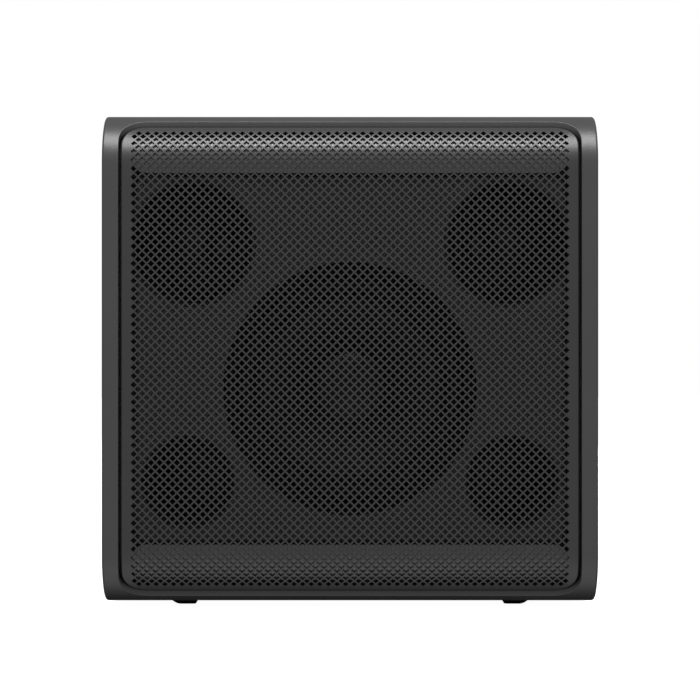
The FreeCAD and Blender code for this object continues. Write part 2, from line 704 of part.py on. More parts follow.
def grille_bars():
    """Curved bars that back the grille where it rolls over at the top and the bottom."""
    centre, flat = "(front_radius - body_depth / 2)", "(body_height / 2 - front_radius)"
    radius = "(front_radius - grille_recess - grille_sheet - bar_gap)"
    face = f"{centre} - {radius}"
    end = f"{centre} - sqrt({radius} ^ 2 - (bar_high - {flat}) ^ 2)"
    for label, sign in (("upper_grille_bar", 1), ("lower_grille_bar", -1)):
        body = cabinet_body(label)
        outline = [
            ("ledge_y", f"{sign} * bar_low"), (face, f"{sign} * bar_low"),
            (face, f"{sign} * {flat}", f"{-sign} * {radius}"), (end, f"{sign} * bar_high"),
            ("ledge_y", f"{sign} * bar_high"),
        ]
        extrude(body, "Pad", draw(body, "YZ_Plane", [outline]), "2 * bar_half", both=True)

        def bar_corner(edge):
            box = edge.BoundBox
            return box.YLength > 5 and box.XLength < 0.01 and box.ZLength < 0.01

        soften(body, "Fillet", bar_corner, "bar_corner")


def baffle(rooms):
    """The driver board: a rim on the shell's ledge and a raised panel, cut for everything it carries."""
    body = cabinet_body("baffle_board", keep=False)
    rim = draw(body, "XZ_Plane", [rectangle("baffle_half_x", "baffle_half_z")], offset="-baffle_back")
    extrude(body, "Pad", rim, "baffle_back - ledge_y")
    panel = draw(body, "XZ_Plane", [rounded("panel_half_x", "panel_half_z", "5")], offset="-ledge_y")
    extrude(body, "Pad", panel, "ledge_y - baffle_front")
    ports = [(f"{sign} * port_x", "port_z", "port_collar") for _, sign in SIDES]
    circles = [("0", "woofer_z", "woofer_hole")] + ports
    openings = draw(body, "XZ_Plane", circles=circles, offset="-baffle_back - 5")
    extrude(body, "Pocket", openings, "60", both=True)
    screws = []
    for i in range(8):
        x = f"woofer_screw_pcd / 2 * cos({22.5 + 45 * i})"
        z = f"woofer_z + woofer_screw_pcd / 2 * sin({22.5 + 45 * i})"
        screws.append((x, z, "1.5"))
    blind = draw(body, "XZ_Plane", circles=screws, offset="-baffle_back")
    extrude(body, "Pocket", blind, "12", reverse=True)
    holes = rim_circles("1.5")
    holes += [(f"{a} * stud_x", f"{b} * stud_pitch", "1.6") for a in (-1, 1) for b in (-1, 0, 1)]
    through = draw(body, "XZ_Plane", circles=holes, offset="-baffle_back")
    extrude(body, "Pocket", through, "40", both=True)
    shape = body.Shape
    for room in rooms:
        shape = shape.cut(room)
    plain("baffle", shape.removeSplitter())


def ports():
    """Flared reflex ports glued into the baffle."""
    for side, sign in SIDES:
        at = (f"{sign} * port_x", "0", "foot_height + body_height / 2 + port_z")
        body = new_body(f"{side}_port", at)
        tube = "port_bore + port_wall"
        profile = [
            ("port_mouth", "baffle_front", "-17"), ("port_bore", "baffle_front + 13.5"),
            ("port_bore", "port_end - 8", "-12"), ("port_bore + 3.5", "port_end"),
            (f"{tube} + 3.5", "port_end"), (tube, "port_end - 9"), (tube, "baffle_back"),
            ("port_collar", "baffle_back"), ("port_collar", "baffle_front"),
        ]
        turn_profile(body, "Revolution", profile)


# ---------------------------------------------------------------- drivers

def basket(body, k):
    """Pressed steel basket: flange, sloping wall with six windows, spider shelf and rear seat."""
    shelf_out = f"{k}_shelf_r + {k}_shelf_w"
    outline = [
        (f"{k}_roll_out + 0.5", "0"), (f"{k}_flange_r", "0"),
        (f"{k}_flange_r", f"{k}_flange_t"), (f"{k}_lip_out - 1", f"{k}_flange_t"),
        (f"{shelf_out} + {k}_frame_t", f"{k}_shelf_y + {k}_frame_t"),
        (f"{k}_shelf_r + {k}_frame_t / 2", f"{k}_shelf_y + {k}_frame_t"),
        (f"{k}_seat_r", f"{k}_frame_depth"), (f"{k}_bore_r", f"{k}_frame_depth"),
        (f"{k}_bore_r", f"{k}_frame_depth - {k}_frame_t"),
        (f"{k}_seat_r - {k}_frame_t", f"{k}_frame_depth - {k}_frame_t"),
        (f"{k}_shelf_r", f"{k}_shelf_y"), (shelf_out, f"{k}_shelf_y"),
        (f"{k}_roll_out + 0.5", f"{k}_flange_t"),
    ]
    turn_profile(body, "Revolution", outline)
    near, far = f"({shelf_out} + {k}_frame_t + 1)", f"({k}_roll_out - 1)"
    window = [
        (near, f"-{near} * 0.3"), (far, f"-{far} * 0.36"),
        (far, f"{far} * 0.36"), (near, f"{near} * 0.3"),
    ]
    cut = extrude(body, "Pocket", draw(body, "XZ_Plane", [window]), f"2 * {k}_frame_depth", both=True)
    pattern(body, cut, 6)


def surround(body, k):
    """Half-roll rubber surround with a glued lip on each side."""
    half_out = f"(({k}_roll_out - {k}_roll_in) / 2)"
    half_in = f"({half_out} - {k}_rubber)"
    outline = [
        (f"{k}_lip_out", "0"), (f"{k}_lip_out", f"-{k}_rubber"),
        (f"{k}_roll_out", f"-{k}_rubber", f"-{half_out} * 1.02"), (f"{k}_roll_in", f"-{k}_rubber"),
        (f"{k}_cone_lip", f"-{k}_rubber"), (f"{k}_cone_lip", "0"),
        (f"{k}_roll_in + {k}_rubber", "0", f"{half_in} * 1.02"), (f"{k}_roll_out - {k}_rubber", "0"),
    ]
    turn_profile(body, "Revolution", outline)


def spider(body, k, waves):
    """Corrugated disc from the voice coil to the basket's shelf."""
    sheet = f"{k}_rubber * 0.6"
    level = f"({k}_shelf_y - {sheet})"
    start, end = f"({k}_former_out + 2)", f"({k}_shelf_r - 1)"
    front = [(f"{k}_former_out", level), (start, level)]
    for i in range(1, 2 * waves):
        lift = f"{k}_rubber * {1.6 if i % 2 else -1.6}"
        front.append((f"{start} + ({end} - {start}) * {i} / {2 * waves}", f"{level} - {lift}"))
    front += [(end, level), (f"{k}_shelf_r + {k}_shelf_w - 0.5", level)]
    rear = [(x, f"{y} + {sheet}") for x, y in reversed(front)]
    turn_profile(body, "Revolution", front + rear)


def cone(body, k):
    """Flared paper cone from the surround's inner lip to the voice coil."""
    edge = f"{k}_roll_in - 0.3"
    outline = [
        (edge, "0"), (edge, f"{k}_paper"),
        (f"{k}_cone_lip", f"{k}_paper", f"-{k}_cone_bow"),
        (f"{k}_former_out", f"{k}_cone_depth + {k}_paper"),
        (f"{k}_former_out", f"{k}_cone_depth", f"{k}_cone_bow"),
        (f"{k}_cone_lip + 0.5", "0"),
    ]
    turn_profile(body, "Revolution", outline)


def dust_cap(body, k):
    """Shallow spherical cap over the voice coil."""
    reach, rise = f"({k}_cap_r - 1.6 * {k}_paper)", f"({k}_cap_rise - {k}_paper)"
    outline = [
        ("0", f"{k}_cap_y - {k}_cap_rise", f"({k}_cap_r ^ 2 + {k}_cap_rise ^ 2) / (2 * {k}_cap_rise)"),
        (f"{k}_cap_r", f"{k}_cap_y"),
        (reach, f"{k}_cap_y", f"-({reach} ^ 2 + {rise} ^ 2) / (2 * {rise})"),
        ("0", f"{k}_cap_y - {rise}"),
    ]
    turn_profile(body, "Revolution", outline)


def motor_outlines(k):
    """Outlines of the top plate, the ferrite ring and the yoke with its pole."""
    plate_start = f"{k}_frame_depth"
    magnet_start = f"({k}_frame_depth + {k}_plate_t)"
    yoke_start = f"({magnet_start} + {k}_magnet_t)"
    yoke = [
        (f"{k}_vent_r", plate_start), (f"{k}_pole_r", plate_start), (f"{k}_pole_r", yoke_start),
        (f"{k}_magnet_r - 3", yoke_start), (f"{k}_magnet_r - 3", f"{yoke_start} + {k}_back_t"),
        (f"{k}_vent_r", f"{yoke_start} + {k}_back_t"),
    ]
    return [
        ring(f"{k}_bore_r", f"{k}_plate_r", plate_start, magnet_start),
        ring(f"{k}_magnet_in", f"{k}_magnet_r", magnet_start, yoke_start),
        yoke,
    ]


def coil_outlines(k):
    """Outlines of the voice coil's former and its winding."""
    inner, middle, outer = f"{k}_former_in", f"{k}_former_out", f"{k}_coil_out"
    plate, end = f"{k}_frame_depth", f"{k}_frame_depth + {k}_plate_t"
    former = ring(inner, middle, f"{k}_cone_depth - {k}_paper", f"{end} + {k}_plate_t * 0.8")
    winding = ring(middle, outer, f"{plate} - {k}_plate_t * 0.4", f"{end} + {k}_plate_t * 0.6")
    return [former, winding]


def woofer():
    """The woofer, from its basket and gasket to its motor and its moving parts."""
    at = ("0", "baffle_back", "foot_height + body_height / 2 + woofer_z")
    body = new_body("woofer_basket", at)
    basket(body, "woofer")
    holes = [("woofer_screw_pcd / 2 * cos(22.5)", "woofer_screw_pcd / 2 * sin(22.5)", "1.5")]
    hole = extrude(body, "Pocket", draw(body, "XZ_Plane", circles=holes), "20", both=True)
    pattern(body, hole, 8)
    inner, outer = "woofer_roll_out + 0.2", "woofer_lip_out + 0.5"
    gasket = ring(inner, outer, "-woofer_rubber - 2.5", "-woofer_rubber")
    turn_profile(new_body("woofer_gasket", at), "Revolution", gasket)
    for label, outline in zip(("top_plate", "magnet", "yoke"), motor_outlines("woofer")):
        turn_profile(new_body(f"woofer_{label}", at), "Revolution", outline)
    for label, outline in zip(("coil_former", "coil_winding"), coil_outlines("woofer")):
        turn_profile(new_body(f"woofer_{label}", at), "Revolution", outline)
    surround(new_body("woofer_surround", at), "woofer")
    spider(new_body("woofer_spider", at), "woofer", 4)
    cone(new_body("woofer_cone", at), "woofer")
    dust_cap(new_body("woofer_dust_cap", at), "woofer")


def mid_drivers():
    """A small driver in each upper corner, faced outwards in a pod with a closed can behind."""
    for side, sign in SIDES:
        at = (f"{sign} * mid_x", "mid_y", "foot_height + body_height / 2 + mid_z")
        turn = sign * number("mid_turn")
        basket(new_body(f"{side}_mid_basket", at, turn), "mid")
        motor = []
        for outline in motor_outlines("mid"):
            master = new_body(f"master_{side}_motor", at, turn, keep=False)
            turn_profile(master, "Revolution", outline)
            motor += master.Shape.Solids
        plain(f"{side}_mid_motor", Part.makeCompound(motor))
        coil = []
        for outline in coil_outlines("mid"):
            master = new_body(f"master_{side}_coil", at, turn, keep=False)
            turn_profile(master, "Revolution", outline)
            coil += master.Shape.Solids
        plain(f"{side}_mid_coil", Part.makeCompound(coil))
        roll = new_body(f"master_{side}_surround", at, turn, keep=False)
        surround(roll, "mid")
        disc = new_body(f"master_{side}_spider", at, turn, keep=False)
        spider(disc, "mid", 2)
        plain(f"{side}_mid_suspension", Part.makeCompound(roll.Shape.Solids + disc.Shape.Solids))
        cone(new_body(f"{side}_mid_cone", at, turn), "mid")
        dust_cap(new_body(f"{side}_mid_dust_cap", at, turn), "mid")
        can = new_body(f"{side}_mid_can", at, turn)
        outline = [
            ("can_radius - can_wall", "mid_flange_t"), ("can_radius", "mid_flange_t"),
            ("can_radius", "can_depth - 6", "6"), ("can_radius - 6", "can_depth"), ("0", "can_depth"),
            ("0", "can_depth - can_wall"), ("can_radius - 6", "can_depth - can_wall", "-4"),
            ("can_radius - can_wall", "can_depth - 6"),
        ]
        turn_profile(can, "Revolution", outline)


def pod_shapes(sign, grow):
    """A pod's funnel, from the round opening in the panel to the turned driver."""
    centre_z = number("foot_height + body_height / 2 + mid_z")
    mouth = Part.Wire(Part.makeCircle(number("pod_mouth") + grow, Vec(0, 0, 0), Vec(0, -1, 0)))
    throat = Part.Wire(Part.makeCircle(number("pod_throat") + grow, Vec(0, 0, 0), Vec(0, -1, 0)))
    front = shift(sign * number("pod_x"), number("baffle_front"), centre_z)
    mouth.Placement = front.multiply(mouth.Placement)
    turned = FreeCAD.Rotation(Vec(0, 0, 1), sign * number("mid_turn"))
    place = shift(sign * number("mid_x"), number("mid_y"), centre_z, turned)
    throat.Placement = place.multiply(throat.Placement)
    return Part.makeLoft([mouth, throat], True, True)


def pods():
    """The two pods, and the room that each pod and its driver need in the baffle."""
    rooms = []
    for side, sign in SIDES:
        outer = pod_shapes(sign, number("pod_wall"))
        plain(f"{side}_pod", outer.cut(pod_shapes(sign, 0)))
        turned = FreeCAD.Rotation(Vec(0, 0, 1), sign * number("mid_turn"))
        centre_z = number("foot_height + body_height / 2 + mid_z")
        radius, depth = number("mid_flange_r") + 0.5, number("can_depth") + 2
        room = Part.makeCylinder(radius, depth, Vec(0, 0, 0), Vec(0, 1, 0))
        place = shift(sign * number("mid_x"), number("mid_y"), centre_z, turned)
        room.Placement = place.multiply(room.Placement)
        rooms += [outer, room]
    return rooms


# ---------------------------------------------------------------- rear electronics

def plate_body(label, x="0", z="0", keep=True):
    """A body whose origin lies on the outer face of the amplifier plate, +Y outwards."""
    face = "body_depth / 2 - bay_depth + plate_thickness"
    return new_body(label, (x, face, f"foot_height + body_height / 2 + bay_z + {z}"), keep=keep)


def amp_plate():
    """The plate that carries the controls and sockets, cut for each of them."""
    body = plate_body("amp_plate")
    outline = rounded("plate_width / 2", "plate_height / 2", "4")
    extrude(body, "Pad", draw(body, "XZ_Plane", [outline]), "plate_thickness")
    circles = plate_screw_circles("1.7")
    circles += [(x, "control_z", "3.6") for x in ("level_x", "crossover_x")]
    circles.append(("led_x", "control_z", "1.6"))
    circles += [(f"jack_x - {i} * jack_pitch", "control_z", "3.4") for i in (0, 1)]
    slots = [
        rectangle("3.6", "1.8", "phase_x", "control_z"),
        rectangle("13.6", "9.9", "inlet_x", "mains_z"),
        rectangle("6.6", "10.4", "rocker_x", "mains_z"),
    ]
    extrude(body, "Pocket", draw(body, "XZ_Plane", slots, circles), "20", both=True)


def heat_sink():
    body = plate_body("heat_sink")
    base = rectangle("sink_width / 2", "sink_height / 2")
    extrude(body, "Pad", draw(body, "XZ_Plane", [base]), "sink_base", reverse=True)
    count = int(number("sink_fins"))
    fins = []
    for i in range(count):
        x = f"(sink_width / 2 - 1) * {2 * i / (count - 1) - 1:.5f}"
        fins.append(rectangle("0.9", "sink_height / 2", x))
    sketch = draw(body, "XZ_Plane", fins, offset="-sink_base")
    extrude(body, "Pad", sketch, "sink_fin", reverse=True)


def knobs():
    """Control knobs, each with the shaft that it turns."""
    for label, x in (("level_knob", "level_x"), ("crossover_knob", "crossover_x")):
        master = plate_body(f"master_{label}", x, "control_z", keep=False)
        skirt = "knob_radius"
        profile = [
            ("shaft_radius", "0.4"), (f"{skirt} - 0.6", "0.4"), (skirt, "1"), (skirt, "2.6"),
            (f"{skirt} - 1.4", "3.4"), (f"{skirt} - 1.9", "knob_height - 0.8"),
            (f"{skirt} - 2.7", "knob_height"), ("0", "knob_height"), ("0", "knob_height - 2"),
            ("shaft_radius", "knob_height - 2"),
        ]
        turn_profile(master, "Revolution", profile)
        flute = draw(master, "XZ_Plane", circles=[(f"{skirt} - 1.5", "0", "0.6")], offset="-3.4")
        pattern(master, extrude(master, "Pocket", flute, "knob_height"), 24)
        line = rectangle("0.5", "2.6", "0", "knob_radius - 4.4")
        mark = draw(master, "XZ_Plane", [line], offset="-knob_height")
        extrude(master, "Pocket", mark, "0.6")
        shaft = plate_body(f"master_shaft_{label}", x, "control_z", keep=False)
        turn_profile(shaft, "Revolution", ring("0", "shaft_radius", "-12", "knob_height - 2"))
        plain(label, Part.makeCompound(master.Shape.Solids + shaft.Shape.Solids))


def potentiometers():
    """Control bodies behind the plate, each with a threaded bush round the shaft."""
    solids = []
    for x in ("level_x", "crossover_x"):
        master = plate_body(f"master_pot_{x}", x, "control_z", keep=False)
        bush = "shaft_radius + 0.06"
        profile = [
            (bush, "-12.4"), (bush, "0.2"), ("3.5", "0.2"), ("3.5", "-plate_thickness"),
            ("8", "-plate_thickness"), ("8", "-14"), ("0", "-14"), ("0", "-12.4"),
        ]
        turn_profile(master, "Revolution", profile)
        solids += master.Shape.Solids
    plain("potentiometers", Part.makeCompound(solids))


def power_switch():
    """Rocker switch: a snap-in housing, and a rocker on two short pivots."""
    housing = plate_body("power_switch_housing", "rocker_x", "mains_z")
    flange = draw(housing, "XZ_Plane", [rounded("7.8", "11.6", "1.2")])
    extrude(housing, "Pad", flange, "1.6", reverse=True)
    box = draw(housing, "XZ_Plane", [rectangle("6.5", "10.3")], offset="16")
    extrude(housing, "Pad", box, "16", reverse=True)
    cavity = draw(housing, "XZ_Plane", [rectangle("5", "9.5")], offset="-2")
    extrude(housing, "Pocket", cavity, "16", reverse=True)
    doc.recompute()
    pivots = draw(housing, "YZ_Plane", circles=[("-rocker_pivot", "0", "1.3")])
    extrude(housing, "Pocket", pivots, "12", both=True)

    face = "body_depth / 2 - bay_depth + plate_thickness"
    at = ("rocker_x", f"{face} - rocker_pivot", "foot_height + body_height / 2 + bay_z + mains_z")
    rocker = new_body("power_rocker", at)
    tilt = FreeCAD.Rotation(Vec(1, 0, 0), -number("rocker_tilt"))
    rocker.Placement = FreeCAD.Placement(rocker.Placement.Base, tilt)
    profile = [
        ("6.2", "-8.3"), ("4.7", "0"), ("6.2", "8.3"), ("2.2", "8.3"),
        ("-3.4", "2.6"), ("-3.4", "-2.6"), ("2.2", "-8.3"),
    ]
    extrude(rocker, "Pad", draw(rocker, "YZ_Plane", [profile]), "9.4", both=True)
    pins = draw(rocker, "YZ_Plane", circles=[("0", "0", "1.2")])
    extrude(rocker, "Pad", pins, "11.6", both=True)


def mains_inlet():
    """Three-pole mains socket with chamfered upper corners, and its pins."""
    body = plate_body("mains_inlet", "inlet_x", "mains_z")
    flange = draw(body, "XZ_Plane", [rounded("15.5", "11.8", "2")])
    extrude(body, "Pad", flange, "2", reverse=True)
    box = draw(body, "XZ_Plane", [rectangle("13.5", "9.8")], offset="20")
    extrude(body, "Pad", box, "20", reverse=True)
    mouth = [
        ("-12.1", "-8.3"), ("12.1", "-8.3"), ("12.1", "3.4"),
        ("7.4", "8.3"), ("-7.4", "8.3"), ("-12.1", "3.4"),
    ]
    extrude(body, "Pocket", draw(body, "XZ_Plane", [mouth], offset="-2"), "19", reverse=True)
    slots = [rectangle("1", "2", x, z) for x, z in (("-7", "-2"), ("7", "-2"), ("0", "2"))]
    extrude(body, "Pocket", draw(body, "XZ_Plane", slots, offset="-2"), "30", reverse=True)
    pins = plate_body("inlet_pins", "inlet_x", "mains_z")
    extrude(pins, "Pad", draw(pins, "XZ_Plane", slots, offset="24"), "20", reverse=True)


def phase_switch():
    body = plate_body("phase_switch_body", "phase_x", "control_z")
    box = draw(body, "XZ_Plane", [rectangle("6", "3.4")], offset="plate_thickness + 6")
    extrude(body, "Pad", box, "6", reverse=True)
    track = draw(body, "XZ_Plane", [rectangle("3.6", "1.8")], offset="plate_thickness")
    extrude(body, "Pocket", track, "3", reverse=True)
    lever = plate_body("phase_switch_lever", "phase_x - 1.7", "control_z")
    stem = draw(lever, "XZ_Plane", [rectangle("1.6", "1.5")], offset="plate_thickness + 2.8")
    extrude(lever, "Pad", stem, "plate_thickness + 5.2", reverse=True)


def input_jacks():
    """Two coaxial line sockets with a hexagonal shoulder and an open centre."""
    solids = []
    for i in (0, 1):
        master = plate_body(f"master_jack_{i}", f"jack_x - {i} * jack_pitch", "control_z", keep=False)
        profile = [
            ("1.6", "1"), ("1.6", "10"), ("3.3", "10"), ("3.3", "2.2"), ("3.5", "2.2"), ("3.5", "10"),
            ("4.15", "10"), ("4.15", "1.5"), ("5.6", "1.5"), ("5.6", "0"), ("3.4", "0"), ("3.4", "-10"),
            ("0", "-10"), ("0", "1"),
        ]
        turn_profile(master, "Revolution", profile)
        solids += master.Shape.Solids
    plain("input_jacks", Part.makeCompound(solids))
    led = plate_body("power_led", "led_x", "control_z")
    lens = [("0", "-4"), ("1.6", "-4"), ("1.6", "0.2"), ("1.3", "0.8"), ("0.7", "1.2"), ("0", "1.2")]
    turn_profile(led, "Revolution", lens)


def circuit():
    """Circuit board on standoffs behind the plate, with its transformer and capacitors."""
    centre = "foot_height + body_height / 2 + bay_z"
    board = new_body("amp_board", ("0", "board_y", centre))
    across, up = "(board_width / 2 - 6)", "(board_height / 2 - 6)"
    posts = [(f"{a} * {across}", f"{b} * {up}") for a in (-1, 1) for b in (-1, 1)]
    holes = [(x, z, "1.6") for x, z in posts]
    sketch = draw(board, "XZ_Plane", [rectangle("board_width / 2", "board_height / 2")], holes)
    extrude(board, "Pad", sketch, "board_thickness", reverse=True)
    standoffs = new_body("board_standoffs", ("0", "board_y + board_thickness", centre))
    length = "body_depth / 2 - bay_depth - board_y - board_thickness"
    rounds = draw(standoffs, "XZ_Plane", circles=[(x, z, "3.2") for x, z in posts])
    extrude(standoffs, "Pad", rounds, length, reverse=True)
    at = ("45", "board_y", centre)
    ring_core = new_body("transformer", at)
    core = [
        ("14", "-5"), ("19", "0"), ("33", "0"), ("38", "-5"),
        ("38", "-27"), ("33", "-32"), ("19", "-32"), ("14", "-27"),
    ]
    turn_profile(ring_core, "Revolution", core)
    cans = new_body("capacitors", ("0", "board_y", centre))
    spots = [(x, z, "10") for z in ("36", "12", "-12") for x in ("-30", "-54")]
    extrude(cans, "Pad", draw(cans, "XZ_Plane", circles=spots), "26")


def swept(points, radius, bend):
    """A round wire along straight runs joined by tangent arcs."""
    edges = []
    last = points[0]
    for before, corner, after in zip(points, points[1:], points[2:]):
        inward, outward = (before - corner).normalize(), (after - corner).normalize()
        half_turn = (math.pi - inward.getAngle(outward)) / 2
        reach = bend * math.tan(half_turn)
        start, end = corner + inward * reach, corner + outward * reach
        middle_way = (inward + outward).normalize()
        middle = corner + middle_way * (bend / math.cos(half_turn) - bend)
        edges.append(Part.makeLine(last, start))
        edges.append(Part.Arc(start, middle, end).toShape())
        last = end
    edges.append(Part.makeLine(last, points[-1]))
    path = Part.Wire(edges)
    heading = (points[1] - points[0]).normalize()
    section = Part.Wire(Part.makeCircle(radius, points[0], heading))
    return path.makePipeShell([section], True, False)


def wiring():
    """Twin lead from the board to the woofer and one to each mid driver's can."""
    z = number("foot_height + body_height / 2")
    y = number("board_y")
    level, behind = z + number("woofer_z"), number("baffle_back + 38.5")
    start, corner = Vec(-75, y, z - 70), Vec(-75, 30, z - 70)
    routes = [[start, corner, Vec(-75, behind, level), Vec(-46.7, behind, level)]]
    turn, depth = math.radians(number("mid_turn")), number("can_depth")
    for _, sign in SIDES:
        rearwards = Vec(-sign * math.sin(turn), math.cos(turn), 0)
        end = Vec(sign * number("mid_x"), number("mid_y"), z + number("mid_z")) + rearwards * depth
        routes.append([Vec(sign * 80, y, z + 26), Vec(sign * 80, 38, z + 26), end + rearwards * 30, end])
    leads = [swept(route, 2.2, 18) for route in routes[:1]]
    leads += [swept(route, 1.8, 18) for route in routes[1:]]
    plain("speaker_leads", Part.makeCompound(leads))


def main():
    centre_z = number("foot_height + body_height / 2")
    front_shell()
    rear_shell()
    shell_seal()
    grille()
    grille_bars()
    baffle(pods())
    ports()
    woofer()
    mid_drivers()
    amp_plate()
    heat_sink()
    knobs()
    potentiometers()
    power_switch()
    mains_inlet()
    phase_switch()
    input_jacks()
    circuit()
    fasteners(centre_z)
    feet()
    wiring()
    export()


def owner_of(thing):
    """Label of the body that a feature belongs to."""
    owners = [parent for parent in thing.InList if parent.TypeId == "PartDesign::Body"]
    return owners[0].Label if owners else thing.Label


def export():
    """Checks every object, then writes each sub-part to its own file."""
    doc.recompute()
    failed = [thing for thing in doc.Objects if {"Invalid", "Error"} & set(thing.State)]
    if failed:
        names = ", ".join(f"{thing.Name} in {owner_of(thing)}" for thing in failed)
        raise RuntimeError(f"failed: {names}")
    os.makedirs("parts", exist_ok=True)
    for piece in subparts:
        shape = piece.Shape
        if shape.isNull() or not shape.isValid() or not shape.Solids:
            raise RuntimeError(f"{piece.Label} has no valid solid")
        shape.exportStep(f"parts/{piece.Label}.step")
        print(f"{piece.Label:24s} {len(shape.Solids):3d} solids {shape.Volume:12.1f} mm3")
    print(len(subparts), "sub-parts")


main()
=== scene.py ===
"""Looks of a powered subwoofer: cabinet, grille, drivers and rear panel, in metres. Its front faces -Y."""

import math

import bmesh
import bpy
import numpy as np
from bpy.props import (
    FloatProperty,
    FloatVectorProperty,
    IntProperty,
    PointerProperty,
)
from mathutils import Matrix, Vector
from mathutils.geometry import delaunay_2d_cdt


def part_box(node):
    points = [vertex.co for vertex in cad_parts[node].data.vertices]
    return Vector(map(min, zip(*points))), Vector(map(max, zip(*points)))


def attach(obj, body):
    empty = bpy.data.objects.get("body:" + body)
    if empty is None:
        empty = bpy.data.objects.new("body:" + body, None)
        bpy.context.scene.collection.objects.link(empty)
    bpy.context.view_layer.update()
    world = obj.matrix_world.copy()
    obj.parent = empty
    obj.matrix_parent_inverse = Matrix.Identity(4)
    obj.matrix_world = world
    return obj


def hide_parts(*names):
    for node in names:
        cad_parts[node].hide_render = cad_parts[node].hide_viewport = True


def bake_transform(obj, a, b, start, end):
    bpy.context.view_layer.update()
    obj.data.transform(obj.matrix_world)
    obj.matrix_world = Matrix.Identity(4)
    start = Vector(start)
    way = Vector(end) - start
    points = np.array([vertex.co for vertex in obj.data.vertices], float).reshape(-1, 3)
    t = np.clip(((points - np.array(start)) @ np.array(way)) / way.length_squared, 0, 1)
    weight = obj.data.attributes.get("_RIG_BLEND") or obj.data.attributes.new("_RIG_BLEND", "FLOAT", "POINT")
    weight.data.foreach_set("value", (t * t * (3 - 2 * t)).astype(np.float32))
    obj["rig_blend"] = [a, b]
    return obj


bl_info = {
    "name": "Powered Subwoofer",
    "version": (1, 0, 0),
    "blender": (4, 5, 0),
    "location": "3D View > Sidebar > Subwoofer",
    "description": "Builds the looks of a powered subwoofer round its packed model",
    "category": "Add Mesh",
}

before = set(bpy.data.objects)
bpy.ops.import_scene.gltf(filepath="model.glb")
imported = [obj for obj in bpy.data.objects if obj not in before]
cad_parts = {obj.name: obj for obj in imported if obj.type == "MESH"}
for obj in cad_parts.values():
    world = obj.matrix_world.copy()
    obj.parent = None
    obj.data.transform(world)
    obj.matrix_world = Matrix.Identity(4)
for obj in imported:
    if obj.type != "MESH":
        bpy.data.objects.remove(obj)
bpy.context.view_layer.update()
MM = 0.001
CABINET = "cabinet"
CENTRE_Z = (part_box("front_shell")[0].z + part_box("front_shell")[1].z) / 2
FRONT_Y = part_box("front_shell")[0].y
PARTING_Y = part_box("front_shell")[1].y
HALF_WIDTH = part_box("front_shell")[1].x
HALF_HEIGHT = (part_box("front_shell")[1].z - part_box("front_shell")[0].z) / 2


# ---------------------------------------------------------------- settings


def length(name, text, millimetres):
    return FloatProperty(name=name, description=text, default=millimetres * MM, unit="LENGTH", precision=5)


def amount(name, text, value):
    return FloatProperty(name=name, description=text, default=value, min=0.0)


def colour(name, text, value):
    return FloatVectorProperty(
        name=name, description=text, default=value, subtype="COLOR", size=3, min=0.0, max=1.0
    )


class SUB_PG_cabinet(bpy.types.PropertyGroup):
    roll_radius: length("Roll radius", "Radius of the rolled top and bottom edges at the front", 31)
    side_edge: length("Side edge", "Rounding of the edges between the front and the sides", 1.6)
    wall: length("Wall", "Thickness of the moulded wall", 4)
    window_half: length("Window half width", "Half the width of the opening for the grille", 139.95)
    window_reach: length("Window reach", "Half the opening's height, measured over the rolled skin", 149.7)
    window_corner: length("Window corner", "Corner radius of the opening", 17)
    window_edge: length("Window edge", "Rounding of the opening's edge", 0.5)
    window_draft: length("Window draft", "How far the opening's upper and lower walls lean inwards", 1.45)
    skin: colour("Shell colour", "Colour of the moulded shells", (0.030, 0.030, 0.0308))
    # Black rubber, darkened further as painted shade: this colour stands in for the contact shadow under the
    # cabinet.
    foot: colour("Foot colour", "Colour of the rubber feet", (0.001, 0.001, 0.001))


class SUB_PG_grille(bpy.types.PropertyGroup):
    recess: length("Recess", "How far the grille lies below the shell's skin", 2.3)
    sheet: length("Sheet", "Thickness of the steel", 1.2)
    half_width: length("Half width", "Half the width of the grille", 138.9)
    reach: length("Reach", "Half the grille's height, measured over its rolled face", 145.6)
    corner: length("Corner", "Corner radius of the grille", 15.5)
    lip: length("Lip", "Radius at which the sheet's edge folds back", 1.3)
    fold: length("Fold", "Depth of the folded edge", 6.5)
    spacing: length("Hole spacing", "Distance between neighbouring holes", 3.70)
    hole: length("Hole side", "Side of one diamond hole", 2.70)
    columns: IntProperty(name="Columns", description="Holes in a long row", default=51, min=3)
    rows: IntProperty(name="Rows", description="Number of long rows", default=53, min=3)
    coat: colour("Coat colour", "Colour of the powder coat", (0.0165, 0.0165, 0.017))
    bar: colour("Bar colour", "Colour of the two bars behind the rolled ends", (0.085, 0.085, 0.086))
    bar_half: length("Bar half length", "Half the length of a bar", 132.3)
    bar_low: length("Bar start", "From the cabinet's centre to a bar's near edge", 112.3)
    bar_reach: length("Bar reach", "To a bar's far edge, measured over its rolled face", 136.7)
    bar_corner: length("Bar corner", "Corner radius of a bar", 9)
    bar_gap: length("Bar gap", "From the grille's face to a bar's face", 1.6)


class SUB_PG_drivers(bpy.types.PropertyGroup):
    mid_turn: FloatProperty(
        name="Mid driver turn", description="How far the mid drivers face outwards",
        default=math.radians(35), subtype="ANGLE",
    )
    mid_x: length("Mid driver x", "From the cabinet's middle to a mid driver's centre", 88.3)
    mid_y: length("Mid driver y", "Front of a mid driver's flange", -72.8)
    board: colour("Board colour", "Colour of the driver board", (0.028, 0.028, 0.029))
    cone: colour("Cone colour", "Colour of the pressed cones", (0.004, 0.004, 0.0041))
    rubber: colour("Rubber colour", "Colour of surrounds, seals and leads", (0.005, 0.005, 0.005))


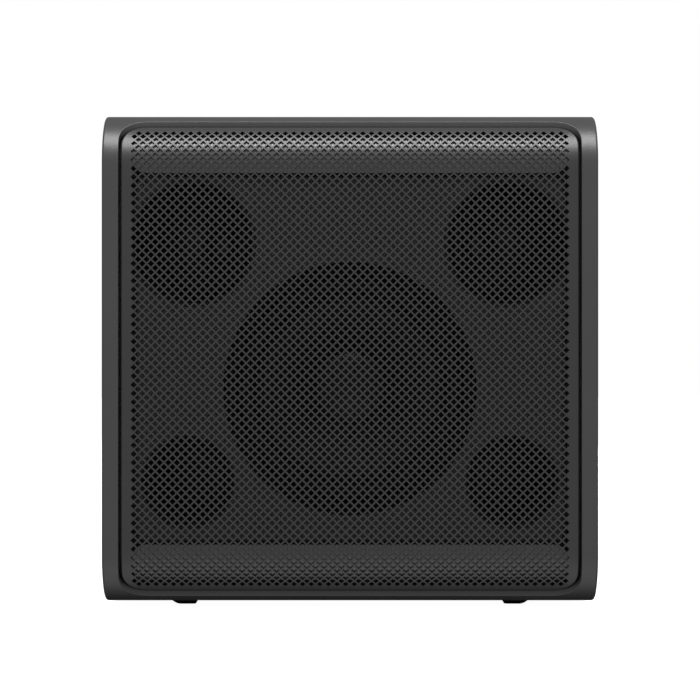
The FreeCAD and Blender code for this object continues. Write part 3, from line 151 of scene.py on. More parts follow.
class SUB_PG_rear(bpy.types.PropertyGroup):
    ticks: IntProperty(name="Ticks", description="Marks round one knob", default=11, min=2)
    sweep: FloatProperty(
        name="Sweep", description="Angle from the first mark to the last",
        default=math.radians(300), subtype="ANGLE",
    )
    ink: length("Ink", "Height of the printed marks above the plate", 0.06)


class SUB_PG_stage(bpy.types.PropertyGroup):
    distance: length("Camera distance", "From the front face to the camera", 1350)
    height: length("Camera height", "Camera above the cabinet's centre", 5.3)
    lens: amount("Focal length", "Camera lens, in millimetres", 115.05)
    overhead: amount("Overhead", "Power of the overhead softbox, in watts", 32.0)
    fill: amount("Fill", "Power of the fill behind the object, in watts", 45.0)
    front: amount("Front", "Brightness of the studio on the camera's side", 0.59)
    back: amount("Back", "Brightness of the studio behind the object", 0.22)
    bounce: amount("Bounce", "Light thrown back by the table in front", 0.75)


def settings(part):
    """The sizes and colours of one part of the subwoofer."""
    return getattr(bpy.context.scene, "sub_" + part)


# ---------------------------------------------------------------- node helpers


def add(tree, kind, at=(0, 0), **values):
    """A node of the given kind, with its properties set."""
    node = tree.nodes.new(kind)
    node.location = at
    for key, value in values.items():
        setattr(node, key, value)
    return node


def wire(tree, *pairs):
    """Links each source socket to its target."""
    for source, target in pairs:
        tree.links.new(source, target)


def shader(name):
    """A new material with its tree, its Principled shader and its Object coordinates."""
    material = bpy.data.materials.new(name)
    material.use_nodes = True
    tree = material.node_tree
    tree.nodes.clear()
    output = add(tree, "ShaderNodeOutputMaterial", (700, 0))
    surface = add(tree, "ShaderNodeBsdfPrincipled", (400, 0))
    wire(tree, (surface.outputs["BSDF"], output.inputs["Surface"]))
    place = add(tree, "ShaderNodeTexCoord", (-1100, 0))
    return material, tree, surface, place.outputs["Object"]


def noise(tree, place, scale, detail=3.0, stretch=(1, 1, 1), rough=0.5):
    """A noise texture at a scale, optionally stretched along an axis."""
    mapping = add(tree, "ShaderNodeMapping", (-900, 0))
    mapping.inputs["Scale"].default_value = stretch
    texture = add(tree, "ShaderNodeTexNoise", (-700, 0))
    texture.inputs["Scale"].default_value = scale
    texture.inputs["Detail"].default_value = detail
    texture.inputs["Roughness"].default_value = rough
    wire(tree, (place, mapping.inputs["Vector"]), (mapping.outputs["Vector"], texture.inputs["Vector"]))
    return texture.outputs["Fac"]


def between(tree, factor, low, high):
    """Maps a 0 to 1 factor to a range."""
    node = add(tree, "ShaderNodeMapRange", (-400, -200))
    node.inputs["From Min"].default_value = 0.3
    node.inputs["From Max"].default_value = 0.7
    node.inputs["To Min"].default_value = low
    node.inputs["To Max"].default_value = high
    wire(tree, (factor, node.inputs["Value"]))
    return node.outputs["Result"]


def tinted(tree, factor, base, drift):
    """A colour that drifts a little round its base."""
    mix = add(tree, "ShaderNodeMix", (-100, 200), data_type="RGBA")
    mix.inputs[6].default_value = (*(max(c * (1 - drift), 0) for c in base), 1)
    mix.inputs[7].default_value = (*(min(c * (1 + drift), 1) for c in base), 1)
    wire(tree, (factor, mix.inputs[0]))
    return mix.outputs[2]


def bumped(tree, surface, height, strength, depth):
    """Relief on a surface from a height field."""
    bump = add(tree, "ShaderNodeBump", (100, -300))
    bump.inputs["Strength"].default_value = strength
    bump.inputs["Distance"].default_value = depth
    wire(tree, (height, bump.inputs["Height"]), (bump.outputs["Normal"], surface.inputs["Normal"]))


def grained(name, base, rough, grain, depth, strength=0.35, drift=0.12, metal=0.0, shine=0.5):
    """A finish with a fine grain in its relief, and slow drift in its colour and gloss."""
    material, tree, surface, place = shader(name)
    fine = noise(tree, place, grain, 4.0)
    slow = noise(tree, place, 40.0, 2.0)
    surface.inputs["Specular IOR Level"].default_value = shine
    wire(
        tree,
        (tinted(tree, slow, base, drift), surface.inputs["Base Color"]),
        (between(tree, fine, rough - 0.05, rough + 0.06), surface.inputs["Roughness"]),
    )
    surface.inputs["Metallic"].default_value = metal
    bumped(tree, surface, fine, strength, depth)
    return material


def moulded_shell(base):
    """Satin moulded plastic with a fine spark-eroded texture."""
    material, tree, surface, place = shader("moulded_shell")
    cells = add(tree, "ShaderNodeTexVoronoi", (-700, 200), feature="SMOOTH_F1")
    cells.inputs["Scale"].default_value = 1500.0
    fine = noise(tree, place, 2600.0, 2.0)
    slow = noise(tree, place, 12.0, 3.0)
    relief = add(tree, "ShaderNodeMath", (-200, -300), operation="ADD")
    wire(
        tree,
        (place, cells.inputs["Vector"]),
        (cells.outputs["Distance"], relief.inputs[0]),
        (fine, relief.inputs[1]),
        (tinted(tree, slow, base, 0.06), surface.inputs["Base Color"]),
        (between(tree, slow, 0.34, 0.39), surface.inputs["Roughness"]),
    )
    bumped(tree, surface, relief.outputs[0], 0.30, 0.00006)
    surface.inputs["Specular IOR Level"].default_value = 0.5
    return material


def powder_coat(name, base, rough):
    """Powder-coated steel: slight orange peel under a satin coat."""
    material, tree, surface, place = shader(name)
    peel = noise(tree, place, 900.0, 2.0)
    speck = noise(tree, place, 3800.0, 1.0)
    slow = noise(tree, place, 9.0, 3.0)
    relief = add(tree, "ShaderNodeMath", (-200, -300), operation="MULTIPLY_ADD")
    relief.inputs[1].default_value = 0.35
    wire(
        tree,
        (speck, relief.inputs[0]),
        (peel, relief.inputs[2]),
        (tinted(tree, slow, base, 0.08), surface.inputs["Base Color"]),
        (between(tree, speck, rough, rough + 0.08), surface.inputs["Roughness"]),
    )
    bumped(tree, surface, relief.outputs[0], 0.25, 0.00005)
    return material


def pressed_cone(base):
    """Pressed fibre cone: matted fibres under a thin damping coat."""
    material, tree, surface, place = shader("pressed_cone")
    fibre = noise(tree, place, 420.0, 6.0, (1, 0.25, 1), 0.7)
    slow = noise(tree, place, 60.0, 3.0)
    wire(
        tree,
        (tinted(tree, fibre, base, 0.35), surface.inputs["Base Color"]),
        (between(tree, slow, 0.42, 0.58), surface.inputs["Roughness"]),
    )
    surface.inputs["Specular IOR Level"].default_value = 0.2
    bumped(tree, surface, fibre, 0.4, 0.0002)
    return material


def woven_cloth(name, base, thread):
    """Cloth dipped in resin: two sets of threads that cross."""
    material, tree, surface, place = shader(name)
    across = add(tree, "ShaderNodeTexWave", (-700, 200), wave_type="BANDS", bands_direction="X")
    along = add(tree, "ShaderNodeTexWave", (-700, -100), wave_type="BANDS", bands_direction="Z")
    for wave in (across, along):
        wave.inputs["Scale"].default_value = thread
        wave.inputs["Distortion"].default_value = 0.6
        wire(tree, (place, wave.inputs["Vector"]))
    both = add(tree, "ShaderNodeMath", (-400, 0), operation="MAXIMUM")
    wire(
        tree,
        (across.outputs["Fac"], both.inputs[0]),
        (along.outputs["Fac"], both.inputs[1]),
        (tinted(tree, both.outputs[0], base, 0.3), surface.inputs["Base Color"]),
    )
    surface.inputs["Roughness"].default_value = 0.8
    bumped(tree, surface, both.outputs[0], 0.5, 0.0003)
    return material


def brushed_plate(name, base, rough, metal):
    """Metal with fine parallel brush marks from side to side."""
    material, tree, surface, place = shader(name)
    marks = noise(tree, place, 700.0, 5.0, (0.02, 1, 1), 0.6)
    slow = noise(tree, place, 18.0, 2.0)
    wire(
        tree,
        (tinted(tree, marks, base, 0.15), surface.inputs["Base Color"]),
        (between(tree, slow, rough - 0.04, rough + 0.06), surface.inputs["Roughness"]),
    )
    surface.inputs["Metallic"].default_value = metal
    bumped(tree, surface, marks, 0.15, 0.00004)
    return material


def circuit_laminate():
    """Green board with paler copper tracks below its lacquer."""
    material, tree, surface, place = shader("circuit_laminate")
    tracks = add(tree, "ShaderNodeTexBrick", (-700, 0))
    tracks.inputs["Scale"].default_value = 90.0
    tracks.inputs["Mortar Size"].default_value = 0.06
    turned = add(tree, "ShaderNodeMapping", (-900, 0))
    turned.inputs["Rotation"].default_value = (math.radians(90), 0, 0)
    tracks.inputs["Color1"].default_value = (0.012, 0.07, 0.028, 1)
    tracks.inputs["Color2"].default_value = (0.014, 0.085, 0.032, 1)
    tracks.inputs["Mortar"].default_value = (0.03, 0.13, 0.05, 1)
    wire(
        tree,
        (place, turned.inputs["Vector"]),
        (turned.outputs["Vector"], tracks.inputs["Vector"]),
        (tracks.outputs["Color"], surface.inputs["Base Color"]),
    )
    surface.inputs["Roughness"].default_value = 0.35
    bumped(tree, surface, tracks.outputs["Fac"], 0.2, 0.00005)
    return material


def indicator_lens():
    """Pale, slightly clouded lens of the power indicator."""
    material, tree, surface, place = shader("indicator_lens")
    cloud = noise(tree, place, 900.0, 2.0)
    wire(tree, (tinted(tree, cloud, (0.30, 0.45, 0.62), 0.1), surface.inputs["Base Color"]))
    surface.inputs["Roughness"].default_value = 0.18
    surface.inputs["Transmission Weight"].default_value = 0.35
    return material


FINISHES = {}


def make_finishes():
    """Every finish of the object, by the name that the pieces ask for."""
    cabinet, grille, drivers = settings("cabinet"), settings("grille"), settings("drivers")
    board, cone, rubber = tuple(drivers.board), tuple(drivers.cone), tuple(drivers.rubber)
    FINISHES.update(
        shell=moulded_shell(tuple(cabinet.skin)),
        coat=powder_coat("powder_coat", tuple(grille.coat), 0.32),
        bar=powder_coat("coated_bar", tuple(grille.bar), 0.16),
        board=grained("driver_board", board, 0.62, 1200.0, 0.00012, 0.4),
        cone=pressed_cone(cone),
        rubber=grained("soft_rubber", rubber, 0.52, 1600.0, 0.00005, 0.25, 0.1, shine=0.08),
        # The feet: black rubber made darker and duller still, as painted shade for the contact shadow
        # beneath them.
        foot=grained("foot_rubber_painted_shade", tuple(cabinet.foot), 0.75, 1600.0, 0.00005, 0.2, shine=0.02),
        cap=grained("dust_cap", cone, 0.26, 700.0, 0.00004, 0.2, shine=0.22),
        pod=grained("pod_plastic", cone, 0.55, 1200.0, 0.0001, 0.3, shine=0.3),
        cloth=woven_cloth("spider_cloth", (0.42, 0.26, 0.10), 420.0),
        basket=grained("coated_basket", (0.020, 0.020, 0.021), 0.45, 1000.0, 0.00008, 0.3),
        ferrite=grained("ferrite", (0.028, 0.028, 0.030), 0.6, 700.0, 0.0002, 0.4),
        steel=brushed_plate("plated_steel", (0.42, 0.41, 0.39), 0.32, 1.0),
        winding=brushed_plate("copper_winding", (0.60, 0.26, 0.12), 0.35, 1.0),
        former=brushed_plate("coil_former", (0.55, 0.50, 0.42), 0.4, 0.6),
        anodised=brushed_plate("anodised_plate", (0.050, 0.050, 0.053), 0.36, 0.3),
        control=grained("control_plastic", (0.020, 0.020, 0.021), 0.42, 1500.0, 0.00005, 0.3),
        screw=grained("blackened_screw", (0.055, 0.054, 0.052), 0.34, 1500.0, 0.00004, 0.25, 0.2, 0.9),
        brass=grained("gilt_contact", (0.78, 0.58, 0.26), 0.22, 1200.0, 0.00003, 0.2, 0.1, 1.0),
        laminate=circuit_laminate(),
        lens=indicator_lens(),
        mark=grained("pale_mark", (0.62, 0.62, 0.60), 0.5, 900.0, 0.00003, 0.2),
    )


NODE_FINISH = {
    "shell": ["front_shell", "rear_shell"],
    "coat": ["grille"],
    "bar": ["upper_grille_bar", "lower_grille_bar"],
    "board": ["baffle"],
    "pod": ["left_pod", "right_pod", "left_port", "right_port", "left_mid_can", "right_mid_can"],
    "rubber": [
        "shell_seal", "woofer_gasket", "woofer_surround",
        "left_mid_suspension", "right_mid_suspension", "speaker_leads",
    ],
    "foot": ["feet"],
    "cloth": ["woofer_spider"],
    "cone": [
        "woofer_cone", "woofer_dust_cap", "left_mid_cone", "right_mid_cone",
        "left_mid_dust_cap", "right_mid_dust_cap",
    ],
    "basket": ["woofer_basket", "left_mid_basket", "right_mid_basket"],
    "ferrite": ["woofer_magnet", "left_mid_motor", "right_mid_motor"],
    "steel": ["woofer_top_plate", "woofer_yoke", "potentiometers", "board_standoffs", "inlet_pins"],
    "winding": ["woofer_coil_winding", "left_mid_coil", "right_mid_coil", "transformer"],
    "former": ["woofer_coil_former", "capacitors"],
    "anodised": ["amp_plate", "heat_sink"],
    "control": [
        "level_knob", "crossover_knob", "power_rocker", "power_switch_housing",
        "mains_inlet", "phase_switch_body", "phase_switch_lever",
    ],
    "screw": ["shell_screws", "baffle_screws", "amp_plate_screws", "grille_nuts", "woofer_screws"],
    "brass": ["input_jacks"],
    "laminate": ["amp_board"],
    "lens": ["power_led"],
}


# ---------------------------------------------------------------- mesh helpers


class Patchwork:
    """Collects patches of faces that are welded into one closed mesh."""

    def __init__(self):
        self.points = []
        self.faces = []

    def patch(self, points, faces):
        start = len(self.points)
        self.points += [tuple(map(float, p)) for p in points]
        self.faces += [tuple(start + i for i in face) for face in faces]

    def strip(self, first, second, closed=True):
        """Quads between two rows of points."""
        count = len(first)
        last = count if closed else count - 1
        faces = [(i, (i + 1) % count, count + (i + 1) % count, count + i) for i in range(last)]
        self.patch([*first, *second], faces)

    def strips(self, rows, closed=True):
        """Quads between each row of points and the next."""
        for first, second in zip(rows, rows[1:]):
            self.strip(first, second, closed)

    def mesh(self, name, sharp=40.0, weld=2e-6):
        """The welded mesh, smooth except at edges sharper than the given angle."""
        made = bpy.data.meshes.new(name)
        bm = bmesh.new()
        corners = [bm.verts.new(p) for p in self.points]
        for face in self.faces:
            bm.faces.new([corners[i] for i in face])
        bmesh.ops.remove_doubles(bm, verts=bm.verts, dist=weld)
        bmesh.ops.dissolve_degenerate(bm, dist=weld, edges=bm.edges)
        bmesh.ops.recalc_face_normals(bm, faces=bm.faces)
        bm.to_mesh(made)
        bm.free()
        made.shade_smooth()
        made.set_sharp_from_angle(angle=math.radians(sharp))
        return made


def finished(name, mesh, finish):
    """An object of the scene with one finish on its mesh."""
    obj = bpy.data.objects.new(name, mesh)
    bpy.context.scene.collection.objects.link(obj)
    mesh.materials.clear()
    mesh.materials.append(FINISHES[finish])
    return obj


def piece(name, mesh, finish, body=CABINET, nodes=()):
    """A finished piece, with the body that it rides on and the carried nodes that it stands for."""
    obj = finished(name, mesh, finish)
    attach(obj, body)
    if nodes:
        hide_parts(*nodes)
    return obj


def middle_of(node):
    """The middle of a carried node's box."""
    low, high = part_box(node)
    return (low + high) / 2


def even_normals(obj):
    """Lets the large faces rule the shading next to narrow roundings."""
    modifier = obj.modifiers.new("even_normals", "WEIGHTED_NORMAL")
    modifier.keep_sharp = True
    modifier.weight = 100


def spread(start, end, step):
    """Evenly spaced values from start up to, but without, end."""
    count = max(1, round(abs(end - start) / step))
    return [start + (end - start) * i / count for i in range(count)]


def rounded_loop(half_u, half_s, radius, grow=0.0, step=2 * MM, turns=14):
    """Closed loop of (u, s) round a rounded rectangle. grow offsets it without changing its count."""
    straight_u, straight_s = half_u - radius, half_s - radius
    loop = []
    quadrants = ((1, 1, 0), (-1, 1, 90), (-1, -1, 180), (1, -1, 270))
    for sign_u, sign_s, start in quadrants:
        centre = np.array([sign_u * straight_u, sign_s * straight_s])
        for i in range(turns):
            angle = math.radians(start + 90 * i / turns)
            loop.append(centre + (radius + grow) * np.array([math.cos(angle), math.sin(angle)]))
        angle = math.radians(start + 90)
        end = centre + (radius + grow) * np.array([math.cos(angle), math.sin(angle)])
        if start in (0, 180):
            other = end * [-1, 1]
            loop += [np.array([u, end[1]]) for u in spread(end[0], other[0], 3 * step)]
        else:
            other = end * [1, -1]
            loop += [np.array([end[0], s]) for s in spread(end[1], other[1], step)]
    return np.array(loop)


def inside_rounded(points, half_u, half_s, radius):
    """Which points lie inside a rounded rectangle."""
    over = np.maximum(np.abs(points) - [half_u - radius, half_s - radius], 0)
    near = np.hypot(over[:, 0], over[:, 1]) < radius
    return near & (np.abs(points[:, 0]) < half_u) & (np.abs(points[:, 1]) < half_s)


def enclosed(points, loop):
    """Which points lie inside a closed loop."""
    inside = np.zeros(len(points), bool)
    for (x0, y0), (x1, y1) in zip(loop, np.roll(loop, -1, axis=0)):
        crosses = (y0 > points[:, 1]) != (y1 > points[:, 1])
        slope = (x1 - x0) / (y1 - y0) if y1 != y0 else 0.0
        inside ^= crosses & (points[:, 0] < x0 + slope * (points[:, 1] - y0))
    return inside


def triangulate(loops, extra):
    """Triangles over 2D loops and loose points, as (points, faces)."""
    points = [Vector(p) for loop in loops for p in loop]
    edges = []
    start = 0
    for loop in loops:
        edges += [(start + i, start + (i + 1) % len(loop)) for i in range(len(loop))]
        start += len(loop)
    points += [Vector(p) for p in extra]
    made = delaunay_2d_cdt(points, edges, [], 0, 1e-7)
    return np.array([tuple(p) for p in made[0]]), [tuple(face) for face in made[2]]


def over_front(u, s, t, roll):
    """Lays (u, s) over the front at depth t: flat, then rolled by a quarter turn, then flat to the rear.

    s is measured on the face at depth zero, whose rolled edge has the radius roll.
    """
    u, s, t = (np.asarray(v, float) for v in np.broadcast_arrays(u, s, t))
    cabinet = settings("cabinet")
    centre_y, flat = FRONT_Y + cabinet.roll_radius, HALF_HEIGHT - cabinet.roll_radius
    turn = np.clip((np.abs(s) - flat) / roll, 0, math.pi / 2)
    beyond = np.maximum(np.abs(s) - flat - roll * math.pi / 2, 0)
    depth = roll - t
    y = centre_y - depth * np.cos(turn) + beyond
    z = np.sign(s) * (np.minimum(np.abs(s), flat) + depth * np.sin(turn))
    return np.stack([u, y, CENTRE_Z + z], axis=-1)


def lathe(profile, steps):
    """A closed outline of (radius, y) pairs, in millimetres, turned about the Y axis."""
    work = Patchwork()
    angles = [2 * math.pi * i / steps for i in range(steps)]
    rings = [
        [(r * MM * math.cos(a), y * MM, r * MM * math.sin(a)) for a in angles]
        for r, y in profile
    ]
    work.strips(rings + rings[:1])
    return work


# ---------------------------------------------------------------- cabinet front


def skin_rows(reach):
    """Rows that the shell's skin needs so that its rolled edges stay smooth."""
    cabinet = settings("cabinet")
    flat = HALF_HEIGHT - cabinet.roll_radius
    arc = cabinet.roll_radius * math.pi / 2
    rows = spread(0, flat, 8 * MM) + spread(flat, flat + arc, 2 * MM) + spread(flat + arc, reach, 11 * MM)
    return sorted({round(sign * row, 7) for row in rows[1:] for sign in (-1, 1)} | {0.0})


def leaning(window, lean):
    """A window's outline, drawn inwards at its upper and lower walls but not at its sides."""
    outline = rounded_loop(*window)
    outward = (rounded_loop(*window, grow=MM) - outline) / MM
    share = np.clip((np.abs(outline[:, 1]) - window[1] + window[2]) / (0.7 * window[2]), 0, 1)
    return outline - outward * (lean * share * share * (3 - 2 * share))[:, None]


def skin_patch(work, half_u, reach, depth, window, lean=0.0):
    """One face of the shell's front, with the window left open."""
    cabinet = settings("cabinet")
    rows = skin_rows(reach)
    ends = [-reach, *rows, reach]
    columns = spread(-half_u, half_u, 4 * MM)[1:]
    rim = [(half_u, s) for s in ends] + [(u, reach) for u in reversed(columns)]
    rim += [(-half_u, s) for s in reversed(ends)] + [(u, -reach) for u in columns]
    hole = leaning(window, lean)
    grid = np.array([(u, s) for u in columns for s in rows])
    clear = ~inside_rounded(grid, window[0] + MM, window[1] + MM, window[2] + MM)
    points, faces = triangulate([rim, hole], grid[clear])
    middles = np.array([points[list(face)].mean(axis=0) for face in faces])
    within = enclosed(middles, hole)
    kept = [face for face, drop in zip(faces, within) if not drop]
    work.patch(over_front(points[:, 0], points[:, 1], depth, cabinet.roll_radius), kept)


def build_front_shell():
    """The front shell: its skin and its inner face, the window's walls, the sides and the parting face."""
    cabinet = settings("cabinet")
    roll, edge, wall = cabinet.roll_radius, cabinet.side_edge, cabinet.wall
    reach = HALF_HEIGHT - roll + roll * math.pi / 2 + PARTING_Y - FRONT_Y - roll
    window = (cabinet.window_half, cabinet.window_reach, cabinet.window_corner)
    lip = cabinet.window_edge
    work = Patchwork()
    grown = (window[0] + lip, window[1] + lip, window[2] + lip)
    skin_patch(work, HALF_WIDTH - edge, reach, 0.0, grown)
    skin_patch(work, HALF_WIDTH - wall, reach, wall, window, cabinet.window_draft)

    rings = []
    for i in range(7):
        angle = math.radians(90 * i / 6)
        grow, depth = lip * (1 - math.sin(angle)), lip * (1 - math.cos(angle))
        loop = rounded_loop(*window, grow=grow)
        rings.append(over_front(loop[:, 0], loop[:, 1], depth, roll))
    loop = leaning(window, cabinet.window_draft)
    for depth in (settings("grille").recess, wall):
        rings.append(over_front(loop[:, 0], loop[:, 1], depth, roll))
    outline = rounded_loop(*grown)
    rings[0] = over_front(outline[:, 0], outline[:, 1], 0.0, roll)
    work.strips(rings)

    rows = [-reach, *skin_rows(reach), reach]
    for sign in (-1, 1):
        bands = [over_front(sign * u, rows, depth, roll) for u, depth in side_rounding(edge)]
        work.strips(bands, closed=False)
        work.patch(bands[-1], [tuple(range(len(rows)))])
        inner = over_front(sign * (HALF_WIDTH - wall), rows, wall, roll)
        work.patch(inner, [tuple(range(len(rows)))])
    parting_face(work, reach)
    name = "front_shell_skin"
    obj = piece(name, work.mesh(name), "shell", nodes=["front_shell"])
    even_normals(obj)


def even_columns(half_u):
    """Places across the front, both ends included."""
    return [-half_u, *spread(-half_u, half_u, 4 * MM)[1:], half_u]


def side_rounding(edge, steps=5):
    """Places and depths round the edge between the front and a side, from the front on."""
    turns = [math.radians(90 * i / steps) for i in range(steps + 1)]
    return [(HALF_WIDTH - edge * (1 - math.sin(t)), edge * (1 - math.cos(t))) for t in turns]


def parting_face(work, reach):
    """The flat face where the front shell meets the seal."""
    cabinet = settings("cabinet")
    edge, wall, roll = cabinet.side_edge, cabinet.wall, cabinet.roll_radius
    columns = even_columns(HALF_WIDTH - edge)
    corner = side_rounding(edge)[1:]
    outer = []
    for sign in (1, -1):
        outer += [over_front(sign * u, sign * reach, 0.0, roll) for u in reversed(columns)]
        outer += [over_front(-sign * u, sign * reach, depth, roll) for u, depth in corner]
        outer += [over_front(-sign * u, -sign * reach, depth, roll) for u, depth in reversed(corner)]
    columns = even_columns(HALF_WIDTH - wall)
    inner = [over_front(u, reach, wall, roll) for u in columns]
    inner += [over_front(u, -reach, wall, roll) for u in reversed(columns)]
    flat_outer = [(p[0], p[2] - CENTRE_Z) for p in outer]
    flat_inner = [(p[0], p[2] - CENTRE_Z) for p in inner]
    points, faces = triangulate([flat_outer, flat_inner], [])
    middles = np.array([points[list(face)].mean(axis=0) for face in faces])
    room = [HALF_WIDTH - wall, HALF_HEIGHT - wall]
    kept = [face for face, middle in zip(faces, middles) if np.any(np.abs(middle) > room)]
    work.patch([(x, PARTING_Y, z + CENTRE_Z) for x, z in points], kept)


# ---------------------------------------------------------------- shape trees


def maths(tree, operation, *values):
    """A math node over sockets or numbers, as its output."""
    node = add(tree, "ShaderNodeMath", operation=operation)
    for socket, value in zip(node.inputs, values):
        if isinstance(value, (int, float)):
            socket.default_value = value
        else:
            wire(tree, (value, socket))
    return node.outputs[0]


def shape_tree(title, inputs):
    """A new tree from geometry to geometry with named inputs, and the sockets of those inputs."""
    tree = bpy.data.node_groups.new(title, "GeometryNodeTree")
    face = tree.interface
    face.new_socket("Geometry", in_out="INPUT", socket_type="NodeSocketGeometry")
    for name, kind in inputs.items():
        face.new_socket(name, in_out="INPUT", socket_type="NodeSocket" + kind)
    face.new_socket("Geometry", in_out="OUTPUT", socket_type="NodeSocketGeometry")
    return tree, add(tree, "NodeGroupInput", (-1800, 0)).outputs


def end_tree(tree, geometry, finish):
    """Ends a tree: its instances made real and given their finish."""
    real = add(tree, "GeometryNodeRealizeInstances", (1700, 200))
    finished_shape = add(tree, "GeometryNodeSetMaterial", (1900, 200))
    output = add(tree, "NodeGroupOutput", (2200, 0))
    wire(
        tree,
        (geometry, real.inputs["Geometry"]),
        (real.outputs["Geometry"], finished_shape.inputs["Geometry"]),
        (finish, finished_shape.inputs["Material"]),
        (finished_shape.outputs["Geometry"], output.inputs["Geometry"]),
    )


def grown_mesh(name, blank, tree, values, sharp=35.0):
    """Runs a tree on a blank mesh and returns the result as a plain mesh."""
    maker = bpy.data.objects.new(name + "_maker", blank)
    bpy.context.scene.collection.objects.link(maker)
    modifier = maker.modifiers.new("build", "NODES")
    modifier.node_group = tree
    for item in tree.interface.items_tree:
        if item.item_type == "SOCKET" and item.in_out == "INPUT" and item.name in values:
            modifier[item.identifier] = values[item.name]
    graph = bpy.context.evaluated_depsgraph_get()
    mesh = bpy.data.meshes.new_from_object(maker.evaluated_get(graph), depsgraph=graph)
    bpy.data.objects.remove(maker)
    mesh.name = name
    mesh.shade_smooth()
    mesh.set_sharp_from_angle(angle=math.radians(sharp))
    return mesh


# ---------------------------------------------------------------- grille


def field_cells(columns, rows):
    """Hole places, as whole numbers of half pitches."""
    tall, wide = rows, columns - 1
    return {
        (i, j)
        for j in range(-tall, tall + 1)
        for i in range(-wide, wide + 1)
        if (i + j) % 2 == 0
    }


def grille_border():
    """Flat blank of the unpierced border, between the outermost holes and the sheet's edge."""
    grille = settings("grille")
    half = grille.spacing / math.sqrt(2)
    cells = field_cells(grille.columns, grille.rows)
    sides = {}
    for i, j in cells:
        corners = [(i + 1, j), (i, j + 1), (i - 1, j), (i, j - 1)]
        for a, b in zip(corners, corners[1:] + corners[:1]):
            key = (min(a, b), max(a, b))
            sides[key] = sides.get(key, 0) + 1
    open_sides = [key for key, count in sides.items() if count == 1]
    ends = sorted({end for side in open_sides for end in side})
    place = {end: i for i, end in enumerate(ends)}
    lip = grille.lip
    flat = (grille.half_width - lip, grille.reach - lip, grille.corner - lip)
    outline = rounded_loop(*flat, step=half)
    points = [Vector((i * half, j * half)) for i, j in ends]
    edges = [(place[a], place[b]) for a, b in open_sides]
    start = len(points)
    points += [Vector(p) for p in outline]
    edges += [(start + i, start + (i + 1) % len(outline)) for i in range(len(outline))]
    made = delaunay_2d_cdt(points, edges, [], 0, 1e-7)
    corners = np.array([tuple(p) for p in made[0]])
    kept = []
    for face in made[2]:
        x, y = corners[list(face)].mean(axis=0) / half
        a, b = round((x + y) / 2), round((x - y) / 2)
        solid = (a + b, a - b) not in cells
        if solid and inside_rounded(np.array([[x * half, y * half]]), *flat)[0]:
            kept.append(tuple(face))
    mesh = bpy.data.meshes.new("grille_blank")
    mesh.from_pydata([(u, s, 0.0) for u, s in corners], [], kept)
    up = bmesh.new()
    up.from_mesh(mesh)
    for face in up.faces:
        if face.normal.z < 0:
            face.normal_flip()
    up.to_mesh(mesh)
    up.free()
    return mesh


